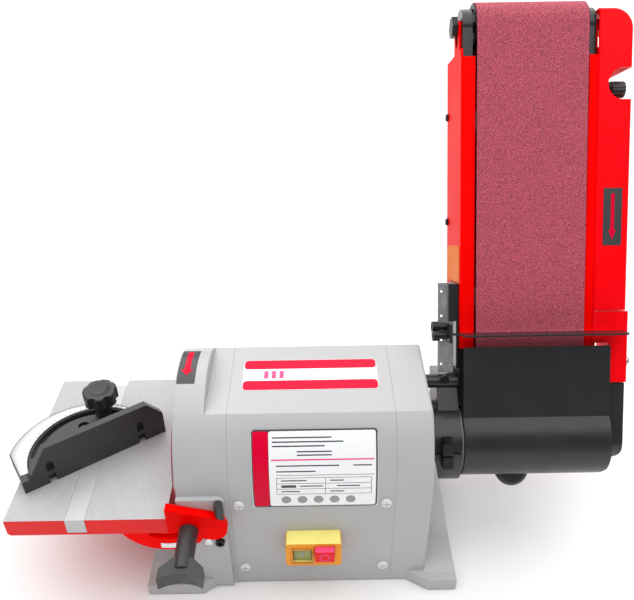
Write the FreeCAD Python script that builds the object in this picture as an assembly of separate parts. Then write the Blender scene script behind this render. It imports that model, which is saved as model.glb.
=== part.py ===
import FreeCAD, Part
import math
import os
from FreeCAD import Vector

# Bench belt and disc sander, millimetres.  +X runs from the disc table to the belt arm,
# -Y is the operator's side, +Z is up.  The origin is the centre of the four bench bolts,
# at the level of the bench.

# ---------------------------------------------------------------- driving dimensions
PAD_PROUD = 1.0            # rubber pads stand this far below the castings
SHAFT_Z = 107.3            # motor shaft above the bench

BODY_X0 = -66.0            # sheet body between the two end castings
BODY_X1 = 79.5
BODY_HALF = 80.0           # half depth of the body
SPRING_Z = SHAFT_Z + 6.8   # where the straight sides turn into the curved shoulders
RIDGE_HALF = 46.8          # half width of the flat top
RIDGE_Z = SHAFT_Z + 80.0   # height of the flat top
CROWN_Z = SHAFT_Z + 96.6   # top of the round guard band
SHELL_T = 3.0
CAST_T = 4.5

BAND_X0 = -112.0           # disc guard band
BAND_X1 = -85.0
CAP_X1 = 112.0             # outer face of the belt-side casting
WEB_X = -92.0              # back wall of the disc chamber
CHAMBER_R = 77.6

SHAFT_R = 8.0
SHAFT_X = (-106.0, 260.4)
DISC_R = 75.0
DISC_FACE_X = -115.5
DISC_T = 8.0
GRIT_T = 1.0
BEARING_R = 20.0
BEARING_W = 12.0
DISC_BEARING_X = -84.0
BELT_BEARING_X = 86.0

FOOT_T = 13.0
FOOT_Z = PAD_PROUD
LEFT_FOOT_X = (-149.5, -98.0, -80.0)
RIGHT_FOOT_X = (140.5, 114.0, 94.0)
FOOT_HALF = 92.0
LEG_HALF = 62.0
LEG_FILLET = 26.0
BENCH_BOLT_X = 127.0
BENCH_BOLT_Y = 70.0
BENCH_BOLT_R = 3.4

TABLE_X0 = -260.6
TABLE_X1 = -120.3
TABLE_HALF = 93.0
TABLE_TOP = SHAFT_Z + 2.3
TABLE_T = 6.0
SKIRT_H = 18.5
SKIRT_T = 5.0
TABLE_EASE = 2.5
SLOT_X = -199.5
SLOT_W = 17.4
SLOT_DEPTH = 16.3
PIVOT_X = -121.5
PIVOT_Z = SHAFT_Z + 6.5
TRUNNION_T = 8.0
PAD_Y = 84.6               # face of the cast pad that a trunnion slides along
LOCK_ANGLE = -45.0
LOCK_R = 27.6
TRUNNION_R = 45.4
SCALE_R = 39.6
STUD_R = 3.0
LOCK_KNOB_R = 8.5
LOCK_KNOB_L = 53.0

MITRE_ANGLE = 34.2
MITRE_Y = -22.0
FENCE_AHEAD = 5.0          # the fence's face stands this far in front of the gauge's pivot
DECK_R = 67.5
DECK_SHIFT = (-8.2, 0.35)  # centre of the deck's round edge, measured from the gauge's pivot
DECK_Z = 14.0
DECK_T = 4.0
FENCE_H = 42.0
FENCE_T = 7.0
FENCE_LEFT = 65.2
FENCE_RIGHT = 71.3
MITRE_SLOT_R = 51.0
PIVOT_PIN_R = 2.3
MITRE_KNOB_R = 16.5
BAR_Y0 = -93.0
BAR_Y1 = 84.0

ARM_LEAN = 28.0            # the arm leans back this far from upright
BELT_X0 = 160.3
BELT_W = 100.0
BELT_LENGTH = 914.0
BELT_T = 0.9
BELT_GAP = 0.3
DRIVE_R = 23.0
IDLER_R = 20.0
DRUM_SPAN = (159.2, 261.4)
MID_R = BELT_GAP + BELT_T / 2.0
DRUM_CENTRES = (BELT_LENGTH - math.pi * (DRIVE_R + IDLER_R + 2 * MID_R)) / 2.0

FRAME_LEFT_X = 146.0
FRAME_RIGHT_X = 270.0
SHEET_T = 2.0
FRAME_FRONT = 20.0         # distance of the front flanges in front of the drum line
FRAME_BACK = -45.0
FRAME_TOP = 364.0
FLANGE_TOP = 357.0
FORK_S = 382.0
AXLE_SLOT_R = 5.4
IDLER_DROP = 13.0          # length of the slots, a little more than the idler's travel
COVER_X1 = 299.8
COVER_TOP = 397.0
COVER_BOTTOM = 126.0
COVER_CORNER = 18.0
DRUM_COVER_X1 = 300.5
DRUM_COVER_R = 20.0
COVER_T = 2.4
DRUM_COVER_ROUND = 12.0
NOTCH_X = 292.2           # round notch in the cover that leaves room for the tracking knob
NOTCH_S = 331.0
NOTCH_R = 14.0
HOOD_X0 = 148.2
HOOD_X1 = 284.0
HOOD_R = 34.2
HOOD_T = 2.0
HOOD_FRONT = 27.5          # upright front panel of the hood, from the crease up to the mouth
HOOD_CREASE_S = 27.5
HOOD_MOUTH_S = 94.0
HOOD_ROUND = 12.0
HOOD_BACK_S = 62.0
PORT_X = 202.4
PORT_S = -33.6
PORT_R = 14.2
PORT_T = 2.0
PORT_END = -58.0           # the dust port points straight back from the arm
PORT_SEAT = -22.0          # the hose slides in as far as this
PORT_RELIEF_R = 15.0
PORT_BLIND = -8.0
NECK_R = 33.0
NECK_X1 = 147.9
RING_X = (113.4, 145.6)
RING_R = 38.0
STOP_S = 107.0
STOP_T = 1.6

parts_dir = "parts"
os.makedirs(parts_dir, exist_ok=True)


# ---------------------------------------------------------------- drawing helpers
def box(x0, x1, y0, y1, z0, z1):
    return Part.makeBox(x1 - x0, y1 - y0, z1 - z0, Vector(x0, y0, z0))


def rod_x(x0, x1, y, z, r):
    return Part.makeCylinder(r, x1 - x0, Vector(x0, y, z), Vector(1, 0, 0))


def rod_y(y0, y1, x, z, r):
    return Part.makeCylinder(r, y1 - y0, Vector(x, y0, z), Vector(0, 1, 0))


def rod_z(z0, z1, x, y, r):
    return Part.makeCylinder(r, z1 - z0, Vector(x, y, z0), Vector(0, 0, 1))


def tube_x(x0, x1, y, z, outer, inner):
    return rod_x(x0, x1, y, z, outer).cut(rod_x(x0 - 1, x1 + 1, y, z, inner))


def fuse(shapes):
    first = shapes[0]
    rest = shapes[1:]
    joined = first.multiFuse(rest) if rest else first
    return joined.removeSplitter()


def cut(shape, tools):
    for tool in tools:
        shape = shape.cut(tool)
    return shape


def prism(points, direction):
    wire = Part.makePolygon(points + [points[0]])
    return Part.Face(wire).extrude(direction)


def prism_xz(points, y0, y1):
    return prism([Vector(x, y0, z) for x, z in points], Vector(0, y1 - y0, 0))


def prism_yz(points, x0, x1):
    return prism([Vector(x0, y, z) for y, z in points], Vector(x1 - x0, 0, 0))


def prism_xy(points, z0, z1):
    return prism([Vector(x, y, z0) for x, y in points], Vector(0, 0, z1 - z0))


def mirror_y(shape):
    return shape.mirror(Vector(0, 0, 0), Vector(0, 1, 0))


def hexagon_x(x0, x1, y, z, flats):
    corner = flats / math.sqrt(3.0)
    points = []
    for k in range(6):
        angle = math.radians(60 * k)
        points.append((y + corner * math.cos(angle), z + corner * math.sin(angle)))
    return prism_yz(points, x0, x1)


def write(node, shape):
    solids = shape.Solids
    if not solids:
        raise RuntimeError(node + " has no solid")
    for solid in solids:
        if not solid.isValid() or solid.Volume < 1.0:
            raise RuntimeError(node + " has a bad solid")
    out = solids[0] if len(solids) == 1 else Part.makeCompound(solids)
    out.exportStep(os.path.join(parts_dir, node + ".step"))
    size = out.BoundBox
    print(node, len(solids), round(out.Volume / 1000.0, 1),
          [round(v) for v in (size.XMin, size.XMax, size.YMin, size.YMax, size.ZMin, size.ZMax)])
    built[node] = out


built = {}


# ---------------------------------------------------------------- housing section
def shoulder_arc(half, ridge_half, ridge_z, side):
    # circular shoulder, upright where it leaves the side and ending at the ridge
    run = half - ridge_half
    rise = ridge_z - SPRING_Z
    radius = (run * run + rise * rise) / (2.0 * run)
    sweep = math.atan2(rise, radius - run)
    mid = sweep / 2.0
    mid_y = side * (half - radius + radius * math.cos(mid))
    mid_z = SPRING_Z + radius * math.sin(mid)
    return (mid_y, mid_z)


def housing_solid(x0, x1, inset=0.0, crown=False, bottom=FOOT_Z):
    half = BODY_HALF - inset
    ridge_half = RIDGE_HALF - inset * 0.35
    ridge_z = RIDGE_Z - inset
    front_mid = shoulder_arc(half, ridge_half, ridge_z, -1)
    back_mid = shoulder_arc(half, ridge_half, ridge_z, 1)

    def at(y, z):
        return Vector(x0, y, z)

    edges = [
        Part.makeLine(at(-half, bottom), at(-half, SPRING_Z)),
        Part.Arc(at(-half, SPRING_Z), at(*front_mid), at(-ridge_half, ridge_z)).toShape(),
    ]
    if crown:
        crest = at(0, CROWN_Z - inset)
        edges.append(Part.Arc(at(-ridge_half, ridge_z), crest, at(ridge_half, ridge_z)).toShape())
    else:
        edges.append(Part.makeLine(at(-ridge_half, ridge_z), at(ridge_half, ridge_z)))
    edges.append(Part.Arc(at(ridge_half, ridge_z), at(*back_mid), at(half, SPRING_Z)).toShape())
    edges.append(Part.makeLine(at(half, SPRING_Z), at(half, bottom)))
    edges.append(Part.makeLine(at(half, bottom), at(-half, bottom)))
    return Part.Face(Part.Wire(edges)).extrude(Vector(x1 - x0, 0, 0))


# ---------------------------------------------------------------- fixed housing
SWITCH_X = (-18.3, 31.8)
SWITCH_Z = (SHAFT_Z - 62.3, SHAFT_Z - 32.4)
SWITCH_PROUD = 15.0


def build_motor_housing():
    outer = housing_solid(BODY_X0, BODY_X1)
    inner = housing_solid(BODY_X0 - 1, BODY_X1 + 1, SHELL_T, bottom=FOOT_Z - 1)
    shell = outer.cut(inner)
    # window for the switch and a round hole for the cable gland at the back
    window = box(SWITCH_X[0] + 3, SWITCH_X[1] - 3, -BODY_HALF - 5, -BODY_HALF + 6,
                 SWITCH_Z[0] + 3, SWITCH_Z[1] - 3)
    gland_hole = rod_y(BODY_HALF - 6, BODY_HALF + 5, GLAND_X, GLAND_Z, 8.0)
    # cooling slots low in the back wall
    slots = []
    for k in range(7):
        x = -36.0 + 10.0 * k
        slots.append(box(x, x + 4.0, BODY_HALF - 6, BODY_HALF + 5, SHAFT_Z - 42, SHAFT_Z - 8))
    write("motor_housing", cut(shell, [window, gland_hole] + slots))


GLAND_X = 52.0
GLAND_Z = SHAFT_Z - 74.0
SCREW_X = (BODY_X0 + 8.0, BODY_X1 - 8.0)
SCREW_Z = (SHAFT_Z + 3.5, SHAFT_Z - 83.0)


def build_base_plate():
    plate = box(BODY_X0 + 0.5, BODY_X1 - 0.5, -BODY_HALF + SHELL_T, BODY_HALF - SHELL_T,
                FOOT_Z + 2.0, FOOT_Z + 4.0)
    slots = []
    for k in range(5):
        y = -44.0 + 22.0 * k
        slots.append(box(-30, 44, y - 2, y + 2, FOOT_Z, FOOT_Z + 6))
    write("base_plate", cut(plate, slots))


def foot_plan(xs, half):
    outer, inner, root = xs
    return [(outer, -half), (inner, -half), (root, -BODY_HALF), (root, BODY_HALF),
            (inner, half), (outer, half)]


def leg_section(x0, x1, front_top, back_top):
    # flank profile: a hollow fillet from the foot up to the upright leg, front and back
    foot_top = FOOT_Z + FOOT_T - 0.5
    out = LEG_HALF + LEG_FILLET
    knee = foot_top + LEG_FILLET
    bend = LEG_FILLET * (1.0 - math.sqrt(0.5))

    def at(y, z):
        return Vector(x0, y, z)

    edges = [
        Part.Arc(at(-out, foot_top), at(-LEG_HALF - bend, foot_top + bend),
                 at(-LEG_HALF, knee)).toShape(),
        Part.makeLine(at(-LEG_HALF, knee), at(-LEG_HALF, front_top)),
        Part.makeLine(at(-LEG_HALF, front_top), at(-40, front_top)),
        Part.makeLine(at(-40, front_top), at(-40, knee)),
        Part.makeLine(at(-40, knee), at(40, knee)),
        Part.makeLine(at(40, knee), at(40, back_top)),
        Part.makeLine(at(40, back_top), at(LEG_HALF, back_top)),
        Part.makeLine(at(LEG_HALF, back_top), at(LEG_HALF, knee)),
        Part.Arc(at(LEG_HALF, knee), at(LEG_HALF + bend, foot_top + bend), at(out, foot_top)).toShape(),
        Part.makeLine(at(out, foot_top), at(-out, foot_top)),
    ]
    return Part.Face(Part.Wire(edges)).extrude(Vector(x1 - x0, 0, 0))


def pad_front(y_face):
    # raised cast pad with one rounded corner, on which the trunnion plate slides
    pad = box(BAND_X0, -70.0, -y_face, -BODY_HALF + 2, FOOT_Z + 2, SHAFT_Z + 15.0)
    edges = [e for e in pad.Edges
             if abs(e.CenterOfMass.x + 70.0) < 0.1 and abs(e.CenterOfMass.z - SHAFT_Z - 15.0) < 0.1]
    return pad.makeFillet(6.0, edges)


def bench_bolt_holes(side):
    holes = []
    for y in (-BENCH_BOLT_Y, BENCH_BOLT_Y):
        holes.append(rod_z(FOOT_Z - 1, FOOT_Z + 10.5, side * BENCH_BOLT_X, y, BENCH_BOLT_R))
    return holes


def build_disc_end_cap():
    band = housing_solid(BAND_X0, BAND_X1, crown=True)
    cap = housing_solid(BAND_X1, BODY_X0)
    chamber = rod_x(BAND_X0 - 1, WEB_X, 0, SHAFT_Z, CHAMBER_R)
    hollow = housing_solid(WEB_X + 6, BODY_X0 + 1, CAST_T, bottom=FOOT_Z - 1)
    under = box(BAND_X0 + 5, WEB_X + 6.5, -70, 70, FOOT_Z - 1, SHAFT_Z - 82)
    chute = box(BAND_X0 + 5, WEB_X, -24, 24, SHAFT_Z - 90, SHAFT_Z - 70)
    body = cut(fuse([band, cap]), [hollow, chamber, under, chute])
    boss = rod_x(WEB_X, -69, 0, SHAFT_Z, 27).fuse(box(WEB_X, -80, -BODY_HALF + 2, BODY_HALF - 2,
                                                     SHAFT_Z - 4, SHAFT_Z + 4))
    pads = [pad_front(PAD_Y), mirror_y(pad_front(PAD_Y))]
    foot = prism_xy(foot_plan(LEFT_FOOT_X, FOOT_HALF), FOOT_Z, FOOT_Z + FOOT_T)
    foot_hollow = box(BAND_X0 + 5, LEFT_FOOT_X[2] + 1, -70, 70, FOOT_Z - 1, FOOT_Z + FOOT_T + 1)
    arch = box(LEFT_FOOT_X[0] - 1, BAND_X0 + 6, -46, 46, FOOT_Z - 1, FOOT_Z + 6)
    foot = cut(foot, [foot_hollow, arch])
    wedge = [(-149.5, FOOT_Z + 12.5), (-138.5, SHAFT_Z - 50), (-133, SHAFT_Z - 50),
             (-121, SHAFT_Z - 80), (-108, SHAFT_Z - 84), (-108, FOOT_Z + 12.5)]
    leg = prism_xz(wedge, -FOOT_HALF, FOOT_HALF).common(leg_section(-150, -107, SHAFT_Z - 50, SHAFT_Z - 50))
    whole = fuse([body, boss, foot, leg] + pads)
    drills = [
        rod_x(DISC_BEARING_X - 0.1, DISC_BEARING_X + BEARING_W + 20, 0, SHAFT_Z, BEARING_R),
        rod_x(WEB_X - 1, DISC_BEARING_X + 1, 0, SHAFT_Z, 11.0),
        rod_x(BAND_X0 - 1, WEB_X, 0, SHAFT_Z, CHAMBER_R),
    ]
    for y in (-1, 1):
        depth = rod_y(-PAD_Y - 1, -PAD_Y + 18, *stud_place(), STUD_R)
        drills.append(depth if y < 0 else mirror_y(depth))
    write("disc_end_cap", cut(whole, drills + bench_bolt_holes(-1)))


def stud_place():
    angle = math.radians(LOCK_ANGLE)
    return (PIVOT_X + LOCK_R * math.cos(angle), PIVOT_Z + LOCK_R * math.sin(angle))


def build_belt_end_cap():
    cap = housing_solid(BODY_X1, CAP_X1)
    rim = [e for e in cap.Edges if abs(e.CenterOfMass.x - CAP_X1) < 0.01 and e.CenterOfMass.z > FOOT_Z + 1]
    cap = cap.makeFillet(2.5, rim)
    hollow = housing_solid(BODY_X1 - 1, CAP_X1 - 6, CAST_T, bottom=FOOT_Z - 1)
    cap = cap.cut(hollow)
    boss = rod_x(84, CAP_X1 - 1, 0, SHAFT_Z, 27)
    neck = rod_x(CAP_X1 - 1, NECK_X1, 0, SHAFT_Z, NECK_R)
    web = box(86, CAP_X1 - 5, -BODY_HALF + 2, BODY_HALF - 2, SHAFT_Z - 4, SHAFT_Z + 4)
    foot = prism_xy(foot_plan(RIGHT_FOOT_X, FOOT_HALF), FOOT_Z, FOOT_Z + FOOT_T)
    foot_hollow = box(RIGHT_FOOT_X[2] - 1, CAP_X1 - 6, -70, 70, FOOT_Z - 1, FOOT_Z + FOOT_T + 1)
    arch = box(CAP_X1 - 7, RIGHT_FOOT_X[0] + 1, -46, 46, FOOT_Z - 1, FOOT_Z + 6)
    foot = cut(foot, [foot_hollow, arch])
    wedge = [(110, FOOT_Z + 12.5), (110, SHAFT_Z + 24), (116.6, SHAFT_Z + 24), (140.5, FOOT_Z + 12.5)]
    leg = prism_xz(wedge, -FOOT_HALF, FOOT_HALF).common(leg_section(109, 142, SHAFT_Z + 24, SHAFT_Z - 42))
    whole = fuse([cap, boss, neck, web, foot, leg])
    drills = [
        rod_x(60, BELT_BEARING_X + BEARING_W + 0.1, 0, SHAFT_Z, BEARING_R),
        rod_x(BELT_BEARING_X, NECK_X1 + 1, 0, SHAFT_Z, 13.0),
    ]
    whole = cut(whole, drills)
    # the leg stays clear of the clamp ring that turns on the neck
    ring_room = tube_x(CAP_X1 + 0.4, NECK_X1 + 1, 0, SHAFT_Z, RING_R + 2.5, NECK_R)
    write("belt_end_cap", cut(whole, [ring_room] + bench_bolt_holes(1)))


def build_rubber_feet():
    # thin rubber washers that the feet stand on, one round each bolt hole
    feet = []
    for x in (-BENCH_BOLT_X, BENCH_BOLT_X):
        for y in (-BENCH_BOLT_Y, BENCH_BOLT_Y):
            feet.append(rod_z(0, FOOT_Z, x, y, 10.0).cut(rod_z(-1, FOOT_Z + 1, x, y, BENCH_BOLT_R)))
    write("rubber_feet", Part.makeCompound(feet))


def pan_screw(x, z, y_face):
    # pan head with a cross recess, seated on the front face
    head = rod_y(y_face - 2.6, y_face, x, z, 5.0)
    rim = [e for e in head.Edges if abs(e.CenterOfMass.y - (y_face - 2.6)) < 0.01]
    head = head.makeFillet(1.6, rim)
    for a, b in ((3.2, 0.7), (0.7, 3.2)):
        head = head.cut(box(x - a, x + a, y_face - 3, y_face - 1.4, z - b, z + b))
    return head


def build_housing_screws():
    screws = []
    for x in SCREW_X:
        for z in SCREW_Z:
            screw = pan_screw(x, z, -BODY_HALF)
            screws.append(screw)
            screws.append(mirror_y(screw))
    write("housing_screws", Part.makeCompound(screws))


def skin_piece(x0, x1, z0, z1, y_side, lift):
    # thin plate that follows the outside of the housing between two heights
    outer = housing_solid(x0, x1, -lift)
    inner = housing_solid(x0 - 1, x1 + 1, 0.0)
    y0, y1 = (-BODY_HALF - 5, -RIDGE_HALF - 4) if y_side < 0 else (RIDGE_HALF + 4, BODY_HALF + 5)
    return outer.cut(inner).common(box(x0, x1, y0, y1, z0, z1))


def build_rating_plate():
    write("rating_plate", skin_piece(-45.0, 63.5, SHAFT_Z + 1.0, SHAFT_Z + 67.0, -1, 0.8))


def build_switch():
    x0, x1 = SWITCH_X
    z0, z1 = SWITCH_Z
    face = -BODY_HALF - SWITCH_PROUD
    frame = box(x0, x1, face, -BODY_HALF, z0, z1)
    upright = [e for e in frame.Edges if abs(e.Length - SWITCH_PROUD) < 0.01]
    frame = frame.makeFillet(3.0, upright)
    stem = box(x0 + 4, x1 - 4, -BODY_HALF - 1, -BODY_HALF + 18, z0 + 4, z1 - 4)
    body = frame.fuse(stem)
    wells = []
    for bx0, bx1, bz0, bz1 in BUTTONS.values():
        wells.append(box(bx0 - 0.4, bx1 + 0.4, face - 1, -BODY_HALF + 8, bz0 - 0.4, bz1 + 0.4))
    write("switch_box", cut(body, wells))


def button(node, proud):
    bx0, bx1, bz0, bz1 = BUTTONS[node]
    face = -BODY_HALF - SWITCH_PROUD - proud
    cap = box(bx0, bx1, face, -BODY_HALF - 1.5, bz0, bz1)
    rim = [e for e in cap.Edges if abs(e.CenterOfMass.y - face) < 0.01]
    write(node, cap.makeFillet(1.2, rim))


BUTTONS = {
    "start_button": (-11.7, 5.1, SHAFT_Z - 57.5, SHAFT_Z - 40.0),
    "stop_button": (8.2, 25.4, SHAFT_Z - 50.8, SHAFT_Z - 36.4),
}
START_SUNK = 2.0
STOP_PROUD = 6.0


def build_cable_gland():
    inside = rod_y(BODY_HALF - 9, BODY_HALF, GLAND_X, GLAND_Z, 7.8)
    flange = rod_y(BODY_HALF, BODY_HALF + 4, GLAND_X, GLAND_Z, 11.0)
    sleeve = Part.makeCone(8.5, 6.0, 14.0, Vector(GLAND_X, BODY_HALF + 4, GLAND_Z), Vector(0, 1, 0))
    bore = rod_y(BODY_HALF - 10, BODY_HALF + 20, GLAND_X, GLAND_Z, 3.6)
    write("cable_gland", fuse([inside, flange, sleeve]).cut(bore))


# ---------------------------------------------------------------- motor
STATOR_X = (-24.0, 40.0)
ROTOR_R = 29.6


def build_motor():
    x0, x1 = STATOR_X
    stator = tube_x(x0, x1, 0, SHAFT_Z, 56.0, 30.0)
    # two feet carry the stator from the side walls of the body
    arms = []
    for side in (-1, 1):
        y0, y1 = sorted((side * 50.0, side * (BODY_HALF - SHELL_T)))
        arm = box(x0 + 6, x1 - 6, y0, y1, SHAFT_Z - 8, SHAFT_Z + 4).cut(rod_x(x0, x1, 0, SHAFT_Z, 54.0))
        arms.append(arm)
    write("stator_core", fuse([stator] + arms))
    coils = []
    for a, b in ((x0 - 13, x0), (x1, x1 + 13)):
        ring = tube_x(a, b, 0, SHAFT_Z, 50.0, 33.0)
        rim = [e for e in ring.Edges
               if e.Curve.TypeId == "Part::GeomCircle" and abs(e.Curve.Radius - 50) < 0.1]
        coils.append(ring.makeFillet(4.0, rim))
    write("stator_windings", Part.makeCompound(coils))
    write("rotor_core", tube_x(x0 + 1, x1 - 1, 0, SHAFT_Z, ROTOR_R, SHAFT_R + 2))
    hub = tube_x(60, 74, 0, SHAFT_Z, 16, SHAFT_R + 2)
    back = tube_x(60, 62, 0, SHAFT_Z, 46, SHAFT_R + 2)
    blades = []
    for k in range(9):
        blade = box(61, 73, -1, 1, SHAFT_Z + 14, SHAFT_Z + 45)
        blade.rotate(Vector(0, 0, SHAFT_Z), Vector(1, 0, 0), 40.0 * k)
        blades.append(blade)
    write("cooling_fan", fuse([hub, back] + blades))


def build_shaft():
    steps = [
        rod_x(SHAFT_X[0], SHAFT_X[1], 0, SHAFT_Z, SHAFT_R),
        rod_x(DISC_BEARING_X + BEARING_W + 0.3, BELT_BEARING_X - 0.3, 0, SHAFT_Z, SHAFT_R + 2),
    ]
    write("motor_shaft", fuse(steps))
    for node, x in (("disc_end_bearing", DISC_BEARING_X), ("belt_end_bearing", BELT_BEARING_X)):
        race = tube_x(x, x + BEARING_W, 0, SHAFT_Z, BEARING_R - 0.02, SHAFT_R + 0.02)
        grooves = [tube_x(x - 1, x + 1, 0, SHAFT_Z, 16.5, 11.5),
                   tube_x(x + BEARING_W - 1, x + BEARING_W + 1, 0, SHAFT_Z, 16.5, 11.5)]
        write(node, cut(race, grooves))


def build_disc():
    back_x = DISC_FACE_X + GRIT_T
    plate = rod_x(back_x, back_x + DISC_T, 0, SHAFT_Z, DISC_R)
    hub = rod_x(back_x + DISC_T - 0.1, -93.0, 0, SHAFT_Z, 10.0)
    bore = rod_x(-106.0, -92.0, 0, SHAFT_Z, SHAFT_R)
    write("disc_plate", cut(fuse([plate, hub]), [bore]))
    write("sanding_disc", rod_x(DISC_FACE_X, back_x, 0, SHAFT_Z, DISC_R))


def build_drive_drum():
    x0, x1 = DRUM_SPAN
    rim = tube_x(x0, x1, 0, SHAFT_Z, DRIVE_R, DRIVE_R - 4)
    hubs = []
    for a in (x0 + 4, x1 - 12):
        hubs.append(tube_x(a, a + 8, 0, SHAFT_Z, DRIVE_R - 3.5, SHAFT_R))
    write("drive_drum", fuse([rim] + hubs))


# ---------------------------------------------------------------- table
def arc_slot(radius, half_width, a0, a1, y0, y1):
    # slot that follows a circle round the tilt axis between two angles, with round ends
    def at(r, degrees):
        angle = math.radians(degrees)
        return Vector(PIVOT_X + r * math.cos(angle), y0, PIVOT_Z + r * math.sin(angle))

    inner = radius - half_width
    outer = radius + half_width
    mid = (a0 + a1) / 2.0
    cap = math.degrees(half_width / radius)
    edges = [
        Part.Arc(at(outer, a0), at(outer, mid), at(outer, a1)).toShape(),
        Part.Arc(at(outer, a1), at(radius, a1 + cap), at(inner, a1)).toShape(),
        Part.Arc(at(inner, a1), at(inner, mid), at(inner, a0)).toShape(),
        Part.Arc(at(inner, a0), at(radius, a0 - cap), at(outer, a0)).toShape(),
    ]
    return Part.Face(Part.Wire(edges)).extrude(Vector(0, y1 - y0, 0))


def build_table():
    bottom = TABLE_TOP - SKIRT_H
    slab = box(TABLE_X0, TABLE_X1, -TABLE_HALF, TABLE_HALF, bottom, TABLE_TOP)
    hollow = box(TABLE_X0 + SKIRT_T, TABLE_X1 + 1, -TABLE_HALF + SKIRT_T, TABLE_HALF - SKIRT_T,
                 bottom - 1, TABLE_TOP - TABLE_T)
    table = slab.cut(hollow)
    channel = box(SLOT_X - SLOT_W / 2 - 3.5, SLOT_X + SLOT_W / 2 + 3.5, -TABLE_HALF, TABLE_HALF,
                  bottom, TABLE_TOP)
    slot = box(SLOT_X - SLOT_W / 2, SLOT_X + SLOT_W / 2, -TABLE_HALF - 1, TABLE_HALF + 1,
               TABLE_TOP - SLOT_DEPTH, TABLE_TOP + 1)
    ribs = []
    for y in (-45.0, 45.0):
        ribs.append(box(TABLE_X0 + 2, TABLE_X1 - 12, y - 2, y + 2, bottom + 6, TABLE_TOP - TABLE_T + 0.5))
    # the edge beside the disc is bevelled underneath so that it clears the disc when tilted
    bevel = prism_xz([(TABLE_X1 + 1, TABLE_TOP - 0.5), (TABLE_X1 + 1, bottom - 1),
                      (TABLE_X1 - SKIRT_H - 1.5, bottom - 1)], -TABLE_HALF + SKIRT_T, TABLE_HALF - SKIRT_T)
    # the far bottom edge is eased so that it clears the bench at full tilt
    ease = prism_xz([(TABLE_X0 - 1, bottom + TABLE_EASE + 1), (TABLE_X0 + TABLE_EASE + 1, bottom - 1),
                     (TABLE_X0 - 1, bottom - 1)], -TABLE_HALF - 1, TABLE_HALF + 1)
    table = fuse([table, channel] + ribs)
    write("sanding_table", cut(table, [slot, bevel, ease]))


def trunnion_outline(y0, y1):
    # casting that hangs from the end of the table: a round plate about the tilt axis with
    # a nose that points over the housing
    round_plate = rod_y(y0, y1, PIVOT_X, PIVOT_Z, TRUNNION_R)
    nose = rod_y(y0, y1, -81.0, SHAFT_Z - 14.0, 12.5)
    trim_top = prism_xz([(-200, TABLE_TOP - SKIRT_H), (TABLE_X1, TABLE_TOP - SKIRT_H),
                         (TABLE_X1, SHAFT_Z + 13.2), (-72.5, SHAFT_Z - 0.6), (-60, SHAFT_Z - 3),
                         (-60, SHAFT_Z + 80), (-200, SHAFT_Z + 80)], y0 - 1, y1 + 1)
    trim_right = prism_xz([(-92.0, SHAFT_Z - 24.0), (-68.0, SHAFT_Z + 40), (-20, SHAFT_Z + 40),
                           (-20, SHAFT_Z - 60), (-92.0, SHAFT_Z - 60)], y0 - 1, y1 + 1)
    plate = round_plate.cut(trim_right)
    plate = plate.fuse(nose)
    bridge = prism_xz([(-100, SHAFT_Z + 7.5), (-74.5, SHAFT_Z + 0.5), (-71.0, SHAFT_Z - 3),
                       (-69.0, SHAFT_Z - 14), (-81.0, SHAFT_Z - 26.5), (-98, SHAFT_Z - 24)], y0, y1)
    plate = fuse([plate, bridge])
    return plate.cut(trim_top).removeSplitter()


def build_trunnions():
    y0, y1 = -TABLE_HALF, -TABLE_HALF + TRUNNION_T
    plate = trunnion_outline(y0, y1)
    slot = arc_slot(LOCK_R, STUD_R + 0.5, -118.0, LOCK_ANGLE + 4.0, y0 - 1, y1 + 1)
    plate = plate.cut(slot)
    write("front_trunnion", plate)
    write("rear_trunnion", mirror_y(plate))
    post = rod_z(SHAFT_Z - 4.0, SHAFT_Z + 16.0, -74.5, -89.0, 3.9)
    write("zero_stop_screw", post.cut(plate))


def build_tilt_scale():
    # curved strip with the angle marks on the face of the front trunnion, below the lock slot
    y0, y1 = -TABLE_HALF - 0.5, -TABLE_HALF
    ring = rod_y(y0, y1, PIVOT_X, PIVOT_Z, SCALE_R + 3.0)
    ring = ring.cut(rod_y(y0 - 1, y1 + 1, PIVOT_X, PIVOT_Z, SCALE_R - 3.0))
    window = box(PIVOT_X - 7, PIVOT_X + 10, y0 - 1, y1 + 1, PIVOT_Z - 60, PIVOT_Z)
    write("tilt_scale", ring.common(window))


def build_table_locks():
    x, z = stud_place()
    studs = [rod_y(-PAD_Y - 26, -PAD_Y + 16, x, z, STUD_R - 0.05)]
    studs.append(mirror_y(studs[0]))
    write("lock_studs", Part.makeCompound(studs))
    knob = lock_knob(x, z)
    write("front_lock_knob", knob)
    write("rear_lock_knob", mirror_y(knob))
    bolt = rod_y(-PAD_Y - 3.2, -PAD_Y, -77.5, SHAFT_Z - 39.5, 4.2)
    bolt = bolt.cut(hexagon_y(-PAD_Y - 4, -PAD_Y - 1.2, -77.5, SHAFT_Z - 39.5, 4.0))
    write("pad_bolts", Part.makeCompound([bolt, mirror_y(bolt)]))
    pointer = prism_xz([(-91.0, SHAFT_Z - 42.5), (-84.5, SHAFT_Z - 42.5), (-84.5, SHAFT_Z - 37.5),
                        (-87.2, SHAFT_Z - 33.5), (-91.0, SHAFT_Z - 37.5)], -PAD_Y - 1.4, -PAD_Y)
    write("tilt_pointer", pointer)


def hexagon_y(y0, y1, x, z, flats):
    corner = flats / math.sqrt(3.0)
    points = []
    for k in range(6):
        angle = math.radians(60 * k)
        points.append((x + corner * math.cos(angle), z + corner * math.sin(angle)))
    return prism_xz(points, y0, y1)


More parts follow.
